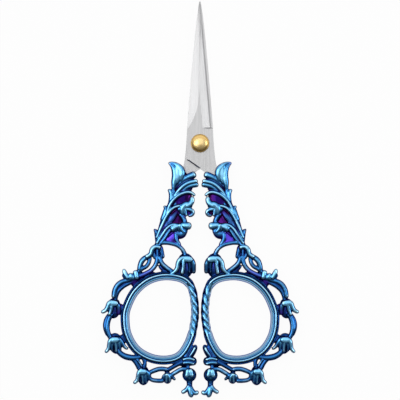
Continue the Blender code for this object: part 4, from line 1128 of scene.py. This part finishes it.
def make_blade(name):
    """One blade in millimetres about the pivot, its flat side on the pivot's plane."""
    blade = make_slab(name)
    press(blade)
    start_fresh()
    bpy.ops.mesh.primitive_cylinder_add(vertices=64, radius=PIVOT_HOLE, depth=CUTTER_REACH)
    cutter = bpy.context.object
    finish_with(blade, "BOOLEAN", object=cutter, operation="DIFFERENCE", solver="EXACT")
    bpy.data.objects.remove(cutter)
    take_up(blade)
    bpy.ops.object.shade_smooth()
    bpy.ops.object.mode_set(mode="EDIT")
    bpy.ops.mesh.select_all(action="SELECT")
    bpy.ops.mesh.normals_make_consistent(inside=False)
    bpy.ops.mesh.select_all(action="DESELECT")
    bpy.ops.mesh.edges_select_sharp(sharpness=radians(SHARP_FROM))
    bpy.ops.mesh.mark_sharp()
    bpy.ops.object.mode_set(mode="OBJECT")
    return blade


front_blade = make_blade("ground_front_blade")
front_blade.data.transform(Matrix.Translation(PIVOT) @ Matrix.Scale(MM, 4))
rear_blade = turned_over(front_blade, "ground_rear_blade")
dress(front_blade, "front_half", "ground_steel", ground_steel, "front_blade")
dress(rear_blade, "rear_half", "ground_steel", ground_steel, "rear_blade")

# %% [markdown]
# ## The pivot
#
# The cap and the screw are turned on a lathe out of brass rod. On a lathe a piece is known by its
# outline, from the axis out and back again, so each is one small circle drawn out and resized ring
# by ring along its outline. The cap has a hollow post that goes through both blades, and the screw
# closes it from behind. Its slot is cut last.

# %% Turn a piece on the lathe
LATHE_SIDES, TURNED_SHARP_FROM = 64, 25.0


def lathe(name, outline):
    """A closed piece turned to this outline of (height, radius), both in millimetres."""
    height, radius = outline[0]
    start_fresh()
    bpy.ops.mesh.primitive_circle_add(
        vertices=LATHE_SIDES, radius=radius, fill_type="NGON", location=(0, 0, height))
    piece = bpy.context.object
    piece.name = piece.data.name = name
    bpy.ops.object.transform_apply(location=True)
    bpy.ops.object.mode_set(mode="EDIT")
    bpy.ops.mesh.select_all(action="SELECT")
    draw_out(outline, Vector((0, 0, 1)))
    bpy.ops.mesh.faces_shade_smooth()
    bpy.ops.mesh.select_all(action="DESELECT")
    bpy.ops.mesh.edges_select_sharp(sharpness=radians(TURNED_SHARP_FROM))
    bpy.ops.mesh.mark_sharp()
    bpy.ops.object.mode_set(mode="OBJECT")
    return piece


# %% [markdown]
# The cap has a low rim, then its dome, and the post below is bored out for the screw. An outline
# starts and ends almost on the axis, so that both ends are closed.

# %% Cap and screw
AXIS = 0.02
CAP_RADIUS, CAP_SEAT, CAP_FOOT, CAP_CHAMFER = 2.9, 1.38, 2.78, 0.12
CAP_RIM, CAP_RISE, DOME_STEPS = 0.45, 1.05, 14
POST_RADIUS, POST_END, BORE_RADIUS, BORE_TOP = 1.5, -1.33, 0.95, 1.36
THREAD_RADIUS, THREAD_TOP = 0.9, 1.3
HEAD_RADIUS, HEAD_SEAT, HEAD_EDGE, HEAD_FACE, HEAD_CHAMFER = 2.6, -1.38, -1.95, -2.13, 0.18
SLOT = (6.0, 0.6, 0.7)

dome = [(CAP_SEAT + CAP_RIM + CAP_RISE * sin(a), CAP_RADIUS * cos(a))
        for a in np.linspace(0, pi / 2, DOME_STEPS)[:-1]]
cap = lathe("turned_pivot_cap", [
    (BORE_TOP, AXIS), (BORE_TOP, BORE_RADIUS), (POST_END, BORE_RADIUS), (POST_END, POST_RADIUS),
    (CAP_SEAT, POST_RADIUS), (CAP_SEAT, CAP_FOOT), (CAP_SEAT + CAP_CHAMFER, CAP_RADIUS), *dome,
    (CAP_SEAT + CAP_RIM + CAP_RISE, AXIS),
])
screw = lathe("slotted_pivot_screw", [
    (THREAD_TOP, AXIS), (THREAD_TOP, THREAD_RADIUS), (HEAD_SEAT, THREAD_RADIUS),
    (HEAD_SEAT, HEAD_RADIUS), (HEAD_EDGE, HEAD_RADIUS), (HEAD_FACE, HEAD_RADIUS - HEAD_CHAMFER),
    (HEAD_FACE, AXIS),
])
start_fresh()
bpy.ops.mesh.primitive_cube_add(size=1, location=(0, 0, HEAD_FACE), scale=SLOT)
bpy.ops.object.transform_apply(location=True, scale=True)
slot_cutter = bpy.context.object
finish_with(screw, "BOOLEAN", object=slot_cutter, operation="DIFFERENCE", solver="EXACT")
bpy.data.objects.remove(slot_cutter)
for piece, node in ((cap, "pivot_cap"), (screw, "pivot_screw")):
    piece.data.transform(Matrix.Translation(PIVOT) @ Matrix.Scale(MM, 4))
    dress(piece, "rear_half", "polished_brass", polished_brass, node)

# %% [markdown]
# ## The table
#
# The object lies on white paper in a light tent. The paper's own colour is white, and for rays that
# come from the camera, gloss or glass most of it is replaced by plain light of strength 1. The rest
# stays lit paper, which keeps the soft shadow of the object.

# %% Floor
FLOOR_SIZE, GLOW_SHARE = 3.0, 0.95

bpy.ops.mesh.primitive_plane_add(size=FLOOR_SIZE, location=(0, 0, 0))
floor = bpy.context.object
floor.name = "table"
bpy.ops.object.mode_set(mode="EDIT")
bpy.ops.mesh.subdivide(number_cuts=1)
bpy.ops.object.mode_set(mode="OBJECT")
paper, tree, shader = new_material("white_tent_paper")
shader.inputs["Base Color"].default_value = colour("#f2f2f2")
shader.inputs["Roughness"].default_value = 0.8
rays = add(tree, "LightPath").outputs
seen = add(tree, "Math", {0: rays["Is Camera Ray"], 1: rays["Is Glossy Ray"]}, operation="MAXIMUM")
seen = add(tree, "Math", {0: seen.outputs[0], 1: rays["Is Transmission Ray"]}, operation="MAXIMUM")
share = add(tree, "Math", {0: seen.outputs[0], 1: GLOW_SHARE}, operation="MULTIPLY").outputs[0]
glow = add(tree, "Emission", {"Color": (1, 1, 1, 1), "Strength": 1.0}).outputs["Emission"]
mixed = add(tree, "MixShader", {0: share, 1: shader.outputs["BSDF"], 2: glow}).outputs["Shader"]
tree.links.new(mixed, tree.nodes["Material Output"].inputs["Surface"])
floor.data.materials.append(paper)
print("floor of", FLOOR_SIZE, "m")

# %% [markdown]
# ## The tent
#
# Polished metal shows what stands round it, so the walls of the tent are drawn with care. Towards
# the handles they are dim, white low down and grey further up, which gives the plating its dark
# slopes. Towards the tips they are bright, grey low down and white further up, for the steel. The
# camera itself sees plain white.

# %% World
TIPS_FROM, TIPS_TO = -0.3, 0.4
DARKER_END, BRIGHTER_END, DIMMEST, BRIGHTEST = -0.6, 0.6, 0.4, 1.5
TENT_STRENGTH = 0.9

world = bpy.data.worlds.new("tent")
bpy.context.scene.world = world
world.use_nodes = True
tree = world.node_tree
toward = add(tree, "SeparateXYZ", {"Vector": add(tree, "TexCoord").outputs["Generated"]}).outputs
near_walls = add(tree, "ValToRGB", {"Fac": toward["Z"]}, stops=(
    (0.0, "#e8e8e8"), (0.28, "#ffffff"), (0.45, "#707274"), (0.6, "#606264"),
    (0.82, "#c2c2c2"))).outputs["Color"]
far_walls = add(tree, "ValToRGB", {"Fac": toward["Z"]}, stops=(
    (0.0, "#707274"), (0.25, "#b4b6b8"), (0.6, "#f2f2f2"), (0.95, "#c2c2c2"))).outputs["Color"]
tips = add(tree, "MapRange", {
    "Value": toward["Y"], "From Min": TIPS_FROM, "From Max": TIPS_TO}).outputs["Result"]
walls = add(tree, "Mix", {0: tips, 6: near_walls, 7: far_walls}, data_type="RGBA").outputs[2]
brightness = add(tree, "MapRange", {
    "Value": toward["Y"], "From Min": DARKER_END, "From Max": BRIGHTER_END,
    "To Min": DIMMEST, "To Max": BRIGHTEST}).outputs["Result"]
walls = add(tree, "Mix", {0: 1.0, 6: walls, 7: brightness}, data_type="RGBA", blend_type="MULTIPLY")
tent = add(tree, "Background", {"Color": walls.outputs[2], "Strength": TENT_STRENGTH})
backdrop = add(tree, "Background", {"Color": (1, 1, 1, 1), "Strength": 1.0})
seen = add(tree, "LightPath").outputs["Is Camera Ray"]
mixed = add(tree, "MixShader", {0: seen, 1: tent.outputs[0], 2: backdrop.outputs[0]})
tree.links.new(mixed.outputs[0], tree.nodes["World Output"].inputs["Surface"])
print("tent of", len(tree.nodes), "nodes")

# %% [markdown]
# ## The lamps
#
# Three soft boxes light the object. The one overhead hangs towards the tips and gives every crest
# its bright line, and those at the left and the right bring out the sides. The larger a soft box
# is, the more power it takes to look as bright, so its power is worked out from how bright it looks.

# %% Lamps
def soft_lamp(name, place, size, glow):
    """A square soft box that looks at the object; glow is how bright it looks, 1 for white."""
    bpy.ops.object.light_add(type="AREA", location=place)
    lamp = bpy.context.object
    lamp.name = name
    lamp.data.shape = "SQUARE"
    lamp.data.size = size
    lamp.data.energy = glow * pi * size * size
    lamp.rotation_euler = (-Vector(place)).to_track_quat("-Z", "Y").to_euler()
    lamp.visible_camera = False
    print(name, round(lamp.data.energy, 2), "W")


soft_lamp("overhead_softbox", (0.0, 0.12, 0.6), 0.36, 0.8)
soft_lamp("left_softbox", (-0.24, 0.03, 0.55), 0.26, 2.4)
soft_lamp("right_softbox", (0.4, 0.03, 0.45), 0.22, 2.8)

# %% [markdown]
# ## Last settings
#
# The Standard view shows a colour as it is written.

# %% View settings
scene = bpy.context.scene
scene.view_settings.view_transform = "Standard"
